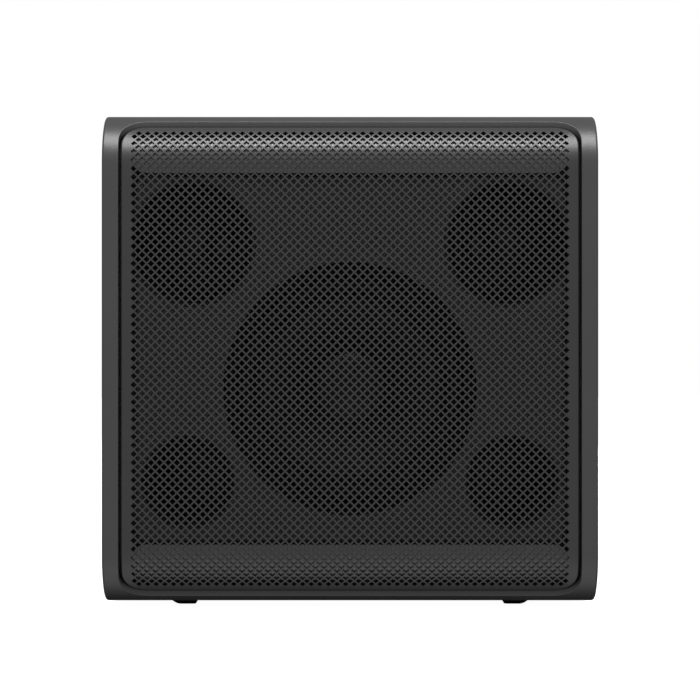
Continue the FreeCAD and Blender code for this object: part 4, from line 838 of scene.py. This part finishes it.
def perforation_tree():
    """Pierces a flat sheet with diamond holes, gives it its thickness and rolls its ends over."""
    tree, given = shape_tree("Perforated rolled sheet", {
        "Hole Spacing": "Float", "Hole Side": "Float", "Columns": "Int", "Rows": "Int",
        "Thickness": "Float", "Roll Radius": "Float", "Flat Half": "Float",
        "Roll Centre Y": "Float", "Centre Z": "Float", "Finish": "Material",
    })
    pitch = maths(tree, "MULTIPLY", given["Hole Spacing"], math.sqrt(2))
    diamond = add(tree, "GeometryNodeMeshCircle", (-1400, 300), fill_type="NGON")
    diamond.inputs["Vertices"].default_value = 4
    inset = add(tree, "GeometryNodeExtrudeMesh", (-1200, 300), mode="FACES")
    inset.inputs["Offset Scale"].default_value = 0.0
    shrink = add(tree, "GeometryNodeScaleElements", (-1000, 300), domain="FACE")
    pierce = add(tree, "GeometryNodeDeleteGeometry", (-800, 300), domain="FACE")
    wire(
        tree,
        (maths(tree, "DIVIDE", pitch, 2.0), diamond.inputs["Radius"]),
        (diamond.outputs["Mesh"], inset.inputs["Mesh"]),
        (inset.outputs["Mesh"], shrink.inputs["Geometry"]),
        (inset.outputs["Top"], shrink.inputs["Selection"]),
        (maths(tree, "DIVIDE", given["Hole Side"], given["Hole Spacing"]), shrink.inputs["Scale"]),
        (shrink.outputs["Geometry"], pierce.inputs["Geometry"]),
        (inset.outputs["Top"], pierce.inputs["Selection"]),
    )
    join = add(tree, "GeometryNodeJoinGeometry", (-200, 200))
    for fewer in (0, 1):
        across = maths(tree, "SUBTRACT", given["Columns"], float(fewer))
        along = maths(tree, "ADD", given["Rows"], float(fewer))
        grid = add(tree, "GeometryNodeMeshGrid", (-800, -200 * fewer))
        wire(
            tree,
            (across, grid.inputs["Vertices X"]),
            (along, grid.inputs["Vertices Y"]),
            (maths(tree, "MULTIPLY", maths(tree, "SUBTRACT", across, 1.0), pitch), grid.inputs["Size X"]),
            (maths(tree, "MULTIPLY", maths(tree, "SUBTRACT", along, 1.0), pitch), grid.inputs["Size Y"]),
        )
        copies = add(tree, "GeometryNodeInstanceOnPoints", (-500, -200 * fewer))
        wire(
            tree,
            (grid.outputs["Mesh"], copies.inputs["Points"]),
            (pierce.outputs["Geometry"], copies.inputs["Instance"]),
            (copies.outputs["Instances"], join.inputs["Geometry"]),
        )
    wire(tree, (given["Geometry"], join.inputs["Geometry"]))
    plain = add(tree, "GeometryNodeRealizeInstances", (0, 200))
    weld = add(tree, "GeometryNodeMergeByDistance", (200, 200))
    weld.inputs["Distance"].default_value = 0.02 * MM
    thicken = add(tree, "GeometryNodeExtrudeMesh", (400, 0), mode="FACES")
    thicken.inputs["Individual"].default_value = False
    down = add(tree, "ShaderNodeCombineXYZ", (200, -200))
    down.inputs["Z"].default_value = -1.0
    flip = add(tree, "GeometryNodeFlipFaces", (600, 0))
    both = add(tree, "GeometryNodeJoinGeometry", (800, 200))
    close = add(tree, "GeometryNodeMergeByDistance", (1000, 200))
    close.inputs["Distance"].default_value = 0.02 * MM
    wire(
        tree,
        (join.outputs["Geometry"], plain.inputs["Geometry"]),
        (plain.outputs["Geometry"], weld.inputs["Geometry"]),
        (weld.outputs["Geometry"], thicken.inputs["Mesh"]),
        (down.outputs["Vector"], thicken.inputs["Offset"]),
        (given["Thickness"], thicken.inputs["Offset Scale"]),
        (thicken.outputs["Mesh"], flip.inputs["Mesh"]),
        (flip.outputs["Mesh"], both.inputs["Geometry"]),
        (weld.outputs["Geometry"], both.inputs["Geometry"]),
        (both.outputs["Geometry"], close.inputs["Geometry"]),
    )
    here = add(tree, "GeometryNodeInputPosition", (400, -500))
    axes = add(tree, "ShaderNodeSeparateXYZ", (600, -500))
    wire(tree, (here.outputs["Position"], axes.inputs["Vector"]))
    along = maths(tree, "ABSOLUTE", axes.outputs["Y"])
    past = maths(tree, "MAXIMUM", maths(tree, "SUBTRACT", along, given["Flat Half"]), 0.0)
    turn = maths(tree, "DIVIDE", past, given["Roll Radius"])
    depth = maths(tree, "ADD", given["Roll Radius"], axes.outputs["Z"])
    drop = maths(tree, "MULTIPLY", depth, maths(tree, "COSINE", turn))
    y = maths(tree, "SUBTRACT", given["Roll Centre Y"], drop)
    level = maths(tree, "MINIMUM", along, given["Flat Half"])
    rise = maths(tree, "ADD", level, maths(tree, "MULTIPLY", depth, maths(tree, "SINE", turn)))
    side = maths(tree, "SIGN", axes.outputs["Y"])
    z = maths(tree, "ADD", given["Centre Z"], maths(tree, "MULTIPLY", rise, side))
    spot = add(tree, "ShaderNodeCombineXYZ", (1400, -400))
    rolled = add(tree, "GeometryNodeSetPosition", (1400, 200))
    wire(
        tree,
        (axes.outputs["X"], spot.inputs["X"]),
        (y, spot.inputs["Y"]),
        (z, spot.inputs["Z"]),
        (close.outputs["Geometry"], rolled.inputs["Geometry"]),
        (spot.outputs["Vector"], rolled.inputs["Position"]),
    )
    end_tree(tree, rolled.outputs["Geometry"], given["Finish"])
    return tree


def build_grille():
    """The pierced sheet, rolled over at both ends, and the folded rim round it."""
    cabinet, grille = settings("cabinet"), settings("grille")
    roll = cabinet.roll_radius - grille.recess
    values = {
        "Hole Spacing": grille.spacing, "Hole Side": grille.hole, "Columns": grille.columns,
        "Rows": grille.rows, "Thickness": grille.sheet, "Roll Radius": roll,
        "Flat Half": HALF_HEIGHT - cabinet.roll_radius, "Roll Centre Y": FRONT_Y + cabinet.roll_radius,
        "Centre Z": CENTRE_Z, "Finish": FINISHES["coat"],
    }
    mesh = grown_mesh("grille_sheet", grille_border(), perforation_tree(), values)
    piece("grille_sheet", mesh, "coat", nodes=["grille"])

    lip, sheet = grille.lip, grille.sheet
    turns = np.radians(range(0, 91, 15))
    section = [(lip * (1 - math.sin(a)), lip * (1 - math.cos(a))) for a in turns]
    section += [(0.0, grille.fold), (sheet, grille.fold), (sheet, sheet + lip), (lip, sheet)]
    work = Patchwork()
    rings = []
    for inset, depth in section:
        loop = rounded_loop(grille.half_width, grille.reach, grille.corner, grow=-inset, step=2 * MM)
        rings.append(over_front(loop[:, 0], loop[:, 1], depth, roll))
    work.strips(rings + rings[:1])
    obj = piece("grille_rim", work.mesh("grille_rim", 50.0), "coat")
    even_normals(obj)


def bar_block(work, roll, far, edge):
    """The upper bar's plate, down to a depth, with its outer edge rounded."""
    grille = settings("grille")
    half_u, corner, near = grille.bar_half, grille.bar_corner, grille.bar_gap
    middle, half_s = (grille.bar_low + grille.bar_reach) / 2, (grille.bar_reach - grille.bar_low) / 2
    rings = []
    for grow, depth in ((-edge, near), (-edge * 0.3, near + edge * 0.3), (0.0, near + edge), (0.0, far)):
        loop = rounded_loop(half_u, half_s, corner, grow=grow, step=MM)
        rings.append(over_front(loop[:, 0], loop[:, 1] + middle, depth, roll))
    work.strips(rings)
    for grow, depth in ((-edge, near), (0.0, far)):
        loop = rounded_loop(half_u, half_s, corner, grow=grow, step=MM)
        rows = spread(-half_s, half_s, 2 * MM)[1:]
        grid = [(u, s) for u in spread(-half_u, half_u, 5 * MM)[1:] for s in rows]
        clear = inside_rounded(np.array(grid), half_u - 2 * MM, half_s - 2 * MM, max(corner - 2 * MM, MM))
        points, faces = triangulate([loop], np.array(grid)[clear])
        work.patch(over_front(points[:, 0], points[:, 1] + middle, depth, roll), faces)


def build_bars():
    """The two curved bars behind the rolled ends of the grille, each on a narrower rib."""
    cabinet, grille = settings("cabinet"), settings("grille")
    roll = cabinet.roll_radius - grille.recess
    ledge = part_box("upper_grille_bar")[1].y - FRONT_Y
    for name, sign in (("upper_grille_bar", 1), ("lower_grille_bar", -1)):
        work = Patchwork()
        back = grille.bar_gap + 3 * MM
        bar_block(work, roll, back, 0.6 * MM)
        work.points = [(x, y, CENTRE_Z + sign * (z - CENTRE_Z)) for x, y, z in work.points]
        rib = Patchwork()
        half_u, middle, half_z = grille.bar_half - 8 * MM, grille.bar_low + 9 * MM, 4 * MM
        rings = []
        for y in (FRONT_Y + grille.recess + back - 1.5 * MM, FRONT_Y + ledge):
            loop = rounded_loop(half_u, half_z, 2 * MM, step=2 * MM, turns=4)
            rings.append([(u, y, CENTRE_Z + sign * (z + middle)) for u, z in loop])
        rib.strip(*rings)
        for ring in rings:
            rib.patch(ring, [tuple(range(len(ring)))])
        work.patch(rib.points, rib.faces)
        piece(name + "_plate", work.mesh(name + "_plate", 35.0), "bar", nodes=[name])


# ---------------------------------------------------------------- drivers

# Sizes in millimetres: radii from the driver's axis, depths behind the front of its flange.
WOOFER = {
    "lip_out": 76, "roll_out": 70, "roll_in": 57, "cone_lip": 53.5, "rubber": 1.0, "paper": 0.8,
    "depth": 26, "neck": 19, "bow": 75, "cap_r": 23, "cap_y": 21, "cap_rise": 6,
    "shelf_y": 29, "shelf_out": 54.5, "waves": 4,
}
MID = {
    "lip_out": 36.3, "roll_out": 33, "roll_in": 25.5, "cone_lip": 23.5, "rubber": 0.7, "paper": 0.5,
    "depth": 11, "neck": 8.3, "bow": 30, "cap_r": 10.2, "cap_y": 8.62, "cap_rise": 3.2,
    "shelf_y": 13, "shelf_out": 23.0, "waves": 2,
}


def bowed(start, end, bow, count=24):
    """Points along a shallow arc from start to end; a positive bow bulges to the left of the way."""
    a, b = np.array(start, float), np.array(end, float)
    middle, half = (a + b) / 2, np.linalg.norm(b - a) / 2
    across = np.array([-(b - a)[1], (b - a)[0]]) / (2 * half)
    centre = middle - across * math.copysign(math.sqrt(bow * bow - half * half), bow)
    first, last = a - centre, b - centre
    sweep = math.atan2(first[0] * last[1] - first[1] * last[0], first @ last)
    points = []
    for i in range(count + 1):
        cos, sin = math.cos(sweep * i / count), math.sin(sweep * i / count)
        turned = [first[0] * cos - first[1] * sin, first[0] * sin + first[1] * cos]
        points.append(tuple(centre + turned))
    return points


def half_roll(radius_out, radius_in, base, count=28):
    """Points over a half roll, from its outer foot to its inner foot."""
    centre, radius = (radius_out + radius_in) / 2, (radius_out - radius_in) / 2
    turns = [math.pi * i / count for i in range(count + 1)]
    return [(centre + radius * math.cos(t), base - radius * math.sin(t)) for t in turns]


def surround_profile(sizes):
    """Closed outline of the rubber surround, in millimetres."""
    soft, outer, inner = sizes["rubber"], sizes["lip_out"], sizes["cone_lip"]
    front = [(outer, 0), (outer, -soft * 0.7), (outer - soft * 0.3, -soft)]
    front += half_roll(sizes["roll_out"], sizes["roll_in"], -soft)
    front += [(inner + soft * 0.3, -soft), (inner, -soft * 0.7), (inner, -0.02)]
    return front + list(reversed(half_roll(sizes["roll_out"] - soft, sizes["roll_in"] + soft, -0.02)))


def waved_part(sizes):
    """Outer and inner radius of the spider's corrugations, in millimetres."""
    return sizes["shelf_out"] - sizes["rubber"] * 6.5, sizes["neck"] + 2


def spider_profile(sizes):
    """Closed outline of the corrugated spider, in millimetres."""
    sheet = sizes["rubber"] * 0.6
    level, count = sizes["shelf_y"] - sheet, 16 * sizes["waves"]
    end, start = waved_part(sizes)
    front = [(sizes["neck"] + 0.02, level)]
    for i in range(count + 1):
        part = i / count
        fade = min(1.0, 6 * part, 6 * (1 - part))
        lift = 1.6 * sizes["rubber"] * fade * math.sin(2 * math.pi * sizes["waves"] * part)
        front.append((start + (end - start) * part, level - lift))
    front.append((sizes["shelf_out"], level))
    return front + [(r, y + sheet - 0.02) for r, y in reversed(front)]


def cone_profile(sizes):
    """Closed outline of the flared cone, in millimetres."""
    edge, paper = sizes["cone_lip"] + 0.5, sizes["paper"]
    front = bowed((edge, 0.02), (sizes["neck"] + 0.02, sizes["depth"]), sizes["bow"])
    rear = bowed((sizes["neck"] + 0.02, sizes["depth"] + paper), (sizes["cone_lip"], paper), -sizes["bow"])
    return [(sizes["roll_in"] - 0.3, paper), (sizes["roll_in"] - 0.3, 0.02), *front, *rear]


def cap_profile(sizes):
    """Closed outline of the dust cap, in millimetres, from its middle to its glued edge and back."""
    radius, rise, paper = sizes["cap_r"], sizes["cap_rise"], sizes["paper"]
    round_r = (radius * radius + rise * rise) / (2 * rise)
    front = bowed((0.01, sizes["cap_y"] - rise), (radius, sizes["cap_y"]), -round_r)
    rear = [(r * (1 - 1.6 * paper / radius), y + paper) for r, y in reversed(front)]
    rear[0] = (radius - 1.6 * paper, sizes["cap_y"])
    return front + rear


def turned_piece(name, profile, place, finish, body, nodes, steps):
    """A piece turned about the local Y axis of a placement."""
    work = lathe(profile, steps)
    work.points = [tuple(place @ Vector(p)) for p in work.points]
    return piece(name, work.mesh(name, 50.0, 1e-6), finish, body, nodes)


def flexing(name, profile, place, finish, moving, nodes, stretch, steps):
    """A turned piece that stays with the cabinet outside of a stretch of radii and moves inside of it."""
    work = lathe(profile, steps)
    radii = [math.hypot(x, z) for x, _, z in work.points]
    work.points = [tuple(place @ Vector(p)) for p in work.points]
    mesh = work.mesh(name, 50.0, 1e-6)
    obj = finished(name, mesh, finish)
    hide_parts(*nodes)
    start, end = place @ Vector((max(radii), 0, 0)), place.translation
    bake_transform(obj, CABINET, moving, start, end)
    back = place.inverted()
    local = np.array([tuple(back @ v.co) for v in mesh.vertices])
    away = np.hypot(local[:, 0], local[:, 2])
    fixed, free = stretch
    part = np.clip((fixed * MM - away) / ((fixed - free) * MM), 0, 1)
    weights = (part * part * (3 - 2 * part)).astype(np.float32)
    mesh.attributes["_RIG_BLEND"].data.foreach_set("value", weights)
    return obj


def build_driver(prefix, sizes, place, moving, steps):
    """Surround, spider, cone and dust cap of one driver, from its sizes and its placement."""
    woofer = prefix == "woofer"
    edge = [f"{prefix}_surround"] if woofer else [f"{prefix}_suspension"]
    web = [f"{prefix}_spider"] if woofer else []
    flexing(
        f"{prefix}_surround_roll", surround_profile(sizes), place, "rubber",
        moving, edge, (sizes["roll_out"], sizes["roll_in"]), steps,
    )
    flexing(
        f"{prefix}_spider_disc", spider_profile(sizes), place, "cloth",
        moving, web, waved_part(sizes), steps,
    )
    for part, node, profile, finish in (
        ("cone_skin", "cone", cone_profile(sizes), "cone"),
        ("cap_skin", "dust_cap", cap_profile(sizes), "cap"),
    ):
        name, nodes = f"{prefix}_{part}", [f"{prefix}_{node}"]
        turned_piece(name, profile, place, finish, moving, nodes, steps)


def build_drivers():
    """The woofer, and the two mid drivers turned outwards."""
    drivers = settings("drivers")
    centre = middle_of("woofer_gasket")
    place = Matrix.Translation((centre.x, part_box("woofer_surround")[1].y, centre.z))
    build_driver("woofer", WOOFER, place, "woofer_moving", 128)
    for side, sign in (("left", -1), ("right", 1)):
        level = middle_of(f"{side}_mid_basket").z
        turn = Matrix.Rotation(sign * drivers.mid_turn, 4, "Z")
        place = Matrix.Translation((sign * drivers.mid_x, drivers.mid_y, level)) @ turn
        build_driver(f"{side}_mid", MID, place, f"{side}_mid_moving", 96)


# ---------------------------------------------------------------- rear panel


def tick_tree():
    """Bars spread along an arc, each pointing at its centre, in the XZ plane."""
    tree, given = shape_tree("Dial ticks", {
        "Count": "Int", "Radius": "Float", "Sweep": "Float", "Length": "Float",
        "Width": "Float", "Height": "Float", "Finish": "Material",
    })
    number = add(tree, "GeometryNodeInputIndex", (-1200, -300)).outputs[0]
    step = maths(tree, "DIVIDE", given["Sweep"], maths(tree, "SUBTRACT", given["Count"], 1.0))
    start = maths(tree, "MULTIPLY", given["Sweep"], -0.5)
    angle = maths(tree, "MULTIPLY_ADD", number, step, start)
    spot = add(tree, "ShaderNodeCombineXYZ", (-200, -300))
    outward = add(tree, "ShaderNodeVectorMath", (0, -300), operation="SCALE")
    turn = add(tree, "ShaderNodeCombineXYZ", (0, -500))
    points = add(tree, "GeometryNodePoints", (-200, 0))
    size = add(tree, "ShaderNodeCombineXYZ", (-400, 300))
    bar = add(tree, "GeometryNodeMeshCube", (-200, 300))
    copies = add(tree, "GeometryNodeInstanceOnPoints", (300, 0))
    wire(
        tree,
        (maths(tree, "SINE", angle), spot.inputs["X"]),
        (maths(tree, "COSINE", angle), spot.inputs["Z"]),
        (spot.outputs[0], outward.inputs[0]),
        (given["Radius"], outward.inputs["Scale"]),
        (angle, turn.inputs["Y"]),
        (given["Count"], points.inputs["Count"]),
        (outward.outputs["Vector"], points.inputs["Position"]),
        (given["Width"], size.inputs["X"]),
        (given["Height"], size.inputs["Y"]),
        (given["Length"], size.inputs["Z"]),
        (size.outputs[0], bar.inputs["Size"]),
        (points.outputs["Points"], copies.inputs["Points"]),
        (bar.outputs["Mesh"], copies.inputs["Instance"]),
        (turn.outputs[0], copies.inputs["Rotation"]),
    )
    end_tree(tree, copies.outputs["Instances"], given["Finish"])
    return tree


def build_ticks():
    """Printed marks round the two knobs."""
    rear = settings("rear")
    tree = tick_tree()
    values = {
        "Count": rear.ticks, "Radius": 12.2 * MM, "Sweep": rear.sweep, "Length": 2.2 * MM,
        "Width": 0.5 * MM, "Height": rear.ink, "Finish": FINISHES["mark"],
    }
    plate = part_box("amp_plate")[1].y
    for knob in ("level_knob", "crossover_knob"):
        middle = middle_of(knob)
        mesh = grown_mesh(knob + "_ticks", bpy.data.meshes.new(knob + "_blank"), tree, values)
        mesh.transform(Matrix.Translation((middle.x, plate + rear.ink / 2, middle.z)))
        piece(knob + "_ticks", mesh, "mark")


def build_pointers():
    """The pale line let into each knob's face."""
    for knob, body in (("level_knob", "level_control"), ("crossover_knob", "crossover_control")):
        low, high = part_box(knob)
        middle = (low + high) / 2
        start, end, half = 2.6 * MM, 7.6 * MM, 0.44 * MM
        work = Patchwork()
        rings = []
        for inset, sunk in ((0.0, 0.58 * MM), (0.0, 0.2 * MM), (0.12 * MM, 0.1 * MM)):
            y = high.y - sunk
            left, right = middle.x - half + inset, middle.x + half - inset
            foot, top = middle.z + start + inset, middle.z + end - inset
            rings.append([(left, y, foot), (right, y, foot), (right, y, top), (left, y, top)])
        work.strips(rings)
        work.patch(rings[0], [(0, 1, 2, 3)])
        work.patch(rings[-1], [(0, 1, 2, 3)])
        piece(knob + "_pointer", work.mesh(knob + "_pointer"), "mark", body)


# ---------------------------------------------------------------- stage


def area_light(name, place, aim, size, power):
    """A rectangular light that the camera doesn't see."""
    data = bpy.data.lights.new(name, "AREA")
    data.shape = "RECTANGLE"
    data.size, data.size_y = size
    data.energy = power
    obj = bpy.data.objects.new(name, data)
    bpy.context.scene.collection.objects.link(obj)
    obj.location = place
    obj.rotation_euler = (Vector(aim) - Vector(place)).to_track_quat("-Z", "Y").to_euler()
    obj.visible_camera = False
    return obj


def build_lights():
    """A softbox over the front and a fill behind that the cabinet's top doesn't mirror."""
    stage = settings("stage")
    centre = (0, 0, CENTRE_Z)
    area_light("overhead_softbox", (0, -0.66, 1.30), centre, (1.6, 0.6), stage.overhead)
    rear = area_light("rear_fill", (0.7, 2.0, 0.75), centre, (1.8, 1.0), stage.fill)
    rear.visible_glossy = False


def build_studio():
    """White surroundings for the camera, and a room with a bright side and a table for the light."""
    stage = settings("stage")
    world = bpy.data.worlds.new("studio")
    bpy.context.scene.world = world
    world.use_nodes = True
    tree = world.node_tree
    tree.nodes.clear()
    output = add(tree, "ShaderNodeOutputWorld", (600, 0))
    place = add(tree, "ShaderNodeTexCoord", (-800, 0))
    axes = add(tree, "ShaderNodeSeparateXYZ", (-600, 0))
    glow = add(tree, "ShaderNodeMapRange", (-300, 0))
    glow.inputs["From Min"].default_value = 1.0
    glow.inputs["From Max"].default_value = -1.0
    glow.inputs["To Min"].default_value = stage.back
    glow.inputs["To Max"].default_value = stage.front
    toward = add(tree, "ShaderNodeVectorMath", (-600, -300), operation="DOT_PRODUCT")
    toward.inputs[1].default_value = (0, 0.8, -0.6)
    below = add(tree, "ShaderNodeMapRange", (-300, -300))
    below.inputs["From Min"].default_value = 0.5
    below.inputs["From Max"].default_value = 1.0
    below.inputs["To Min"].default_value = 1.0
    below.inputs["To Max"].default_value = 0.05
    table = add(tree, "ShaderNodeVectorMath", (-600, -600), operation="DOT_PRODUCT")
    table.inputs[1].default_value = (0, -0.6, -0.8)
    bounce = add(tree, "ShaderNodeMapRange", (-300, -600))
    bounce.inputs["From Min"].default_value = 0.7
    bounce.inputs["To Max"].default_value = stage.bounce
    level = add(tree, "ShaderNodeMath", (-100, -300), operation="MULTIPLY_ADD")
    room = add(tree, "ShaderNodeBackground", (100, -100))
    room.inputs["Color"].default_value = (1, 1, 1, 1)
    paper = add(tree, "ShaderNodeBackground", (100, 100))
    paper.inputs["Color"].default_value = (1, 1, 1, 1)
    paper.inputs["Strength"].default_value = 1.0
    seen = add(tree, "ShaderNodeLightPath", (100, 400))
    mix = add(tree, "ShaderNodeMixShader", (350, 0))
    wire(
        tree,
        (place.outputs["Generated"], axes.inputs["Vector"]),
        (axes.outputs["Y"], glow.inputs["Value"]),
        (place.outputs["Generated"], toward.inputs[0]),
        (toward.outputs["Value"], below.inputs["Value"]),
        (place.outputs["Generated"], table.inputs[0]),
        (table.outputs["Value"], bounce.inputs["Value"]),
        (below.outputs["Result"], level.inputs[0]),
        (glow.outputs["Result"], level.inputs[1]),
        (bounce.outputs["Result"], level.inputs[2]),
        (level.outputs[0], room.inputs["Strength"]),
        (seen.outputs["Is Camera Ray"], mix.inputs["Fac"]),
        (room.outputs["Background"], mix.inputs[1]),
        (paper.outputs["Background"], mix.inputs[2]),
        (mix.outputs["Shader"], output.inputs["Surface"]),
    )


def build_floor():
    """A pale floor that lights nothing."""
    mesh = bpy.data.meshes.new("floor")
    half = 6.0
    corners = [(-half, -half, 0), (half, -half, 0), (half, half, 0), (-half, half, 0)]
    mesh.from_pydata(corners, [], [(0, 1, 2, 3)])
    floor = bpy.data.objects.new("floor", mesh)
    bpy.context.scene.collection.objects.link(floor)
    floor.visible_glossy = False
    floor.visible_diffuse = False
    material = bpy.data.materials.new("pale_floor")
    material.use_nodes = True
    surface = material.node_tree.nodes["Principled BSDF"]
    surface.inputs["Base Color"].default_value = (0.5, 0.5, 0.5, 1)
    surface.inputs["Roughness"].default_value = 1.0
    surface.inputs["Specular IOR Level"].default_value = 0.0
    surface.inputs["Emission Color"].default_value = (1, 1, 1, 1)
    surface.inputs["Emission Strength"].default_value = 0.96
    mesh.materials.append(material)


def build_camera():
    """A long lens, straight in front of the cabinet and a little above its middle."""
    stage = settings("stage")
    scene = bpy.context.scene
    data = bpy.data.cameras.new("camera")
    data.lens = stage.lens
    data.sensor_width = 36.0
    camera = bpy.data.objects.new("camera", data)
    scene.collection.objects.link(camera)
    camera.location = (0, FRONT_Y - stage.distance, CENTRE_Z + stage.height)
    camera.rotation_euler = (math.radians(90), 0, 0)
    scene.camera = camera


# ---------------------------------------------------------------- operators


def finish_nodes():
    """Gives every carried node its finish."""
    for finish, nodes in NODE_FINISH.items():
        for name in nodes:
            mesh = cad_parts[name].data
            mesh.materials.clear()
            mesh.materials.append(FINISHES[finish])


class SUB_OT_finishes(bpy.types.Operator):
    """Make the finishes and give each carried node its own"""

    bl_idname = "subwoofer.finishes"
    bl_label = "Finishes"

    def execute(self, context):
        make_finishes()
        finish_nodes()
        return {"FINISHED"}


class SUB_OT_front_shell(bpy.types.Operator):
    """Build the front shell with its rolled edges and its window"""

    bl_idname = "subwoofer.front_shell"
    bl_label = "Front shell"

    def execute(self, context):
        build_front_shell()
        return {"FINISHED"}


class SUB_OT_grille(bpy.types.Operator):
    """Build the perforated grille, its folded rim and the bars behind its rolled ends"""

    bl_idname = "subwoofer.grille"
    bl_label = "Grille"

    def execute(self, context):
        build_grille()
        build_bars()
        return {"FINISHED"}


class SUB_OT_drivers(bpy.types.Operator):
    """Build the cones, dust caps, surrounds and spiders of the woofer and the mid drivers"""

    bl_idname = "subwoofer.drivers"
    bl_label = "Drivers"

    def execute(self, context):
        build_drivers()
        return {"FINISHED"}


class SUB_OT_dial_marks(bpy.types.Operator):
    """Print the marks round the knobs, and fill the knobs' pointers"""

    bl_idname = "subwoofer.dial_marks"
    bl_label = "Dial marks"

    def execute(self, context):
        build_ticks()
        build_pointers()
        return {"FINISHED"}


class SUB_OT_stage(bpy.types.Operator):
    """Set up the floor, the lights and the camera"""

    bl_idname = "subwoofer.stage"
    bl_label = "Stage"

    def execute(self, context):
        context.scene.view_settings.view_transform = "Standard"
        build_lights()
        build_studio()
        build_floor()
        build_camera()
        return {"FINISHED"}


STEPS = ("finishes", "front_shell", "grille", "drivers", "dial_marks", "stage")


class SUB_PT_panel(bpy.types.Panel):
    """Sizes and colours of the subwoofer, and the steps that build it"""

    bl_idname = "SUB_PT_panel"
    bl_label = "Subwoofer"
    bl_space_type = "VIEW_3D"
    bl_region_type = "UI"
    bl_category = "Subwoofer"

    def draw(self, context):
        for step in STEPS:
            self.layout.operator("subwoofer." + step)
        for part in GROUPS:
            box = self.layout.box()
            box.label(text=part.capitalize())
            group = settings(part)
            for name in group.__annotations__:
                box.prop(group, name)


GROUPS = {
    "cabinet": SUB_PG_cabinet,
    "grille": SUB_PG_grille,
    "drivers": SUB_PG_drivers,
    "rear": SUB_PG_rear,
    "stage": SUB_PG_stage,
}
CLASSES = (
    *GROUPS.values(),
    SUB_OT_finishes,
    SUB_OT_front_shell,
    SUB_OT_grille,
    SUB_OT_drivers,
    SUB_OT_dial_marks,
    SUB_OT_stage,
    SUB_PT_panel,
)


def register():
    for cls in CLASSES:
        bpy.utils.register_class(cls)
    for part, group in GROUPS.items():
        setattr(bpy.types.Scene, "sub_" + part, PointerProperty(type=group))


def unregister():
    for part in GROUPS:
        delattr(bpy.types.Scene, "sub_" + part)
    for cls in reversed(CLASSES):
        bpy.utils.unregister_class(cls)


def main():
    register()
    for step in STEPS:
        getattr(bpy.ops.subwoofer, step)()


if __name__ == "__main__":
    main()
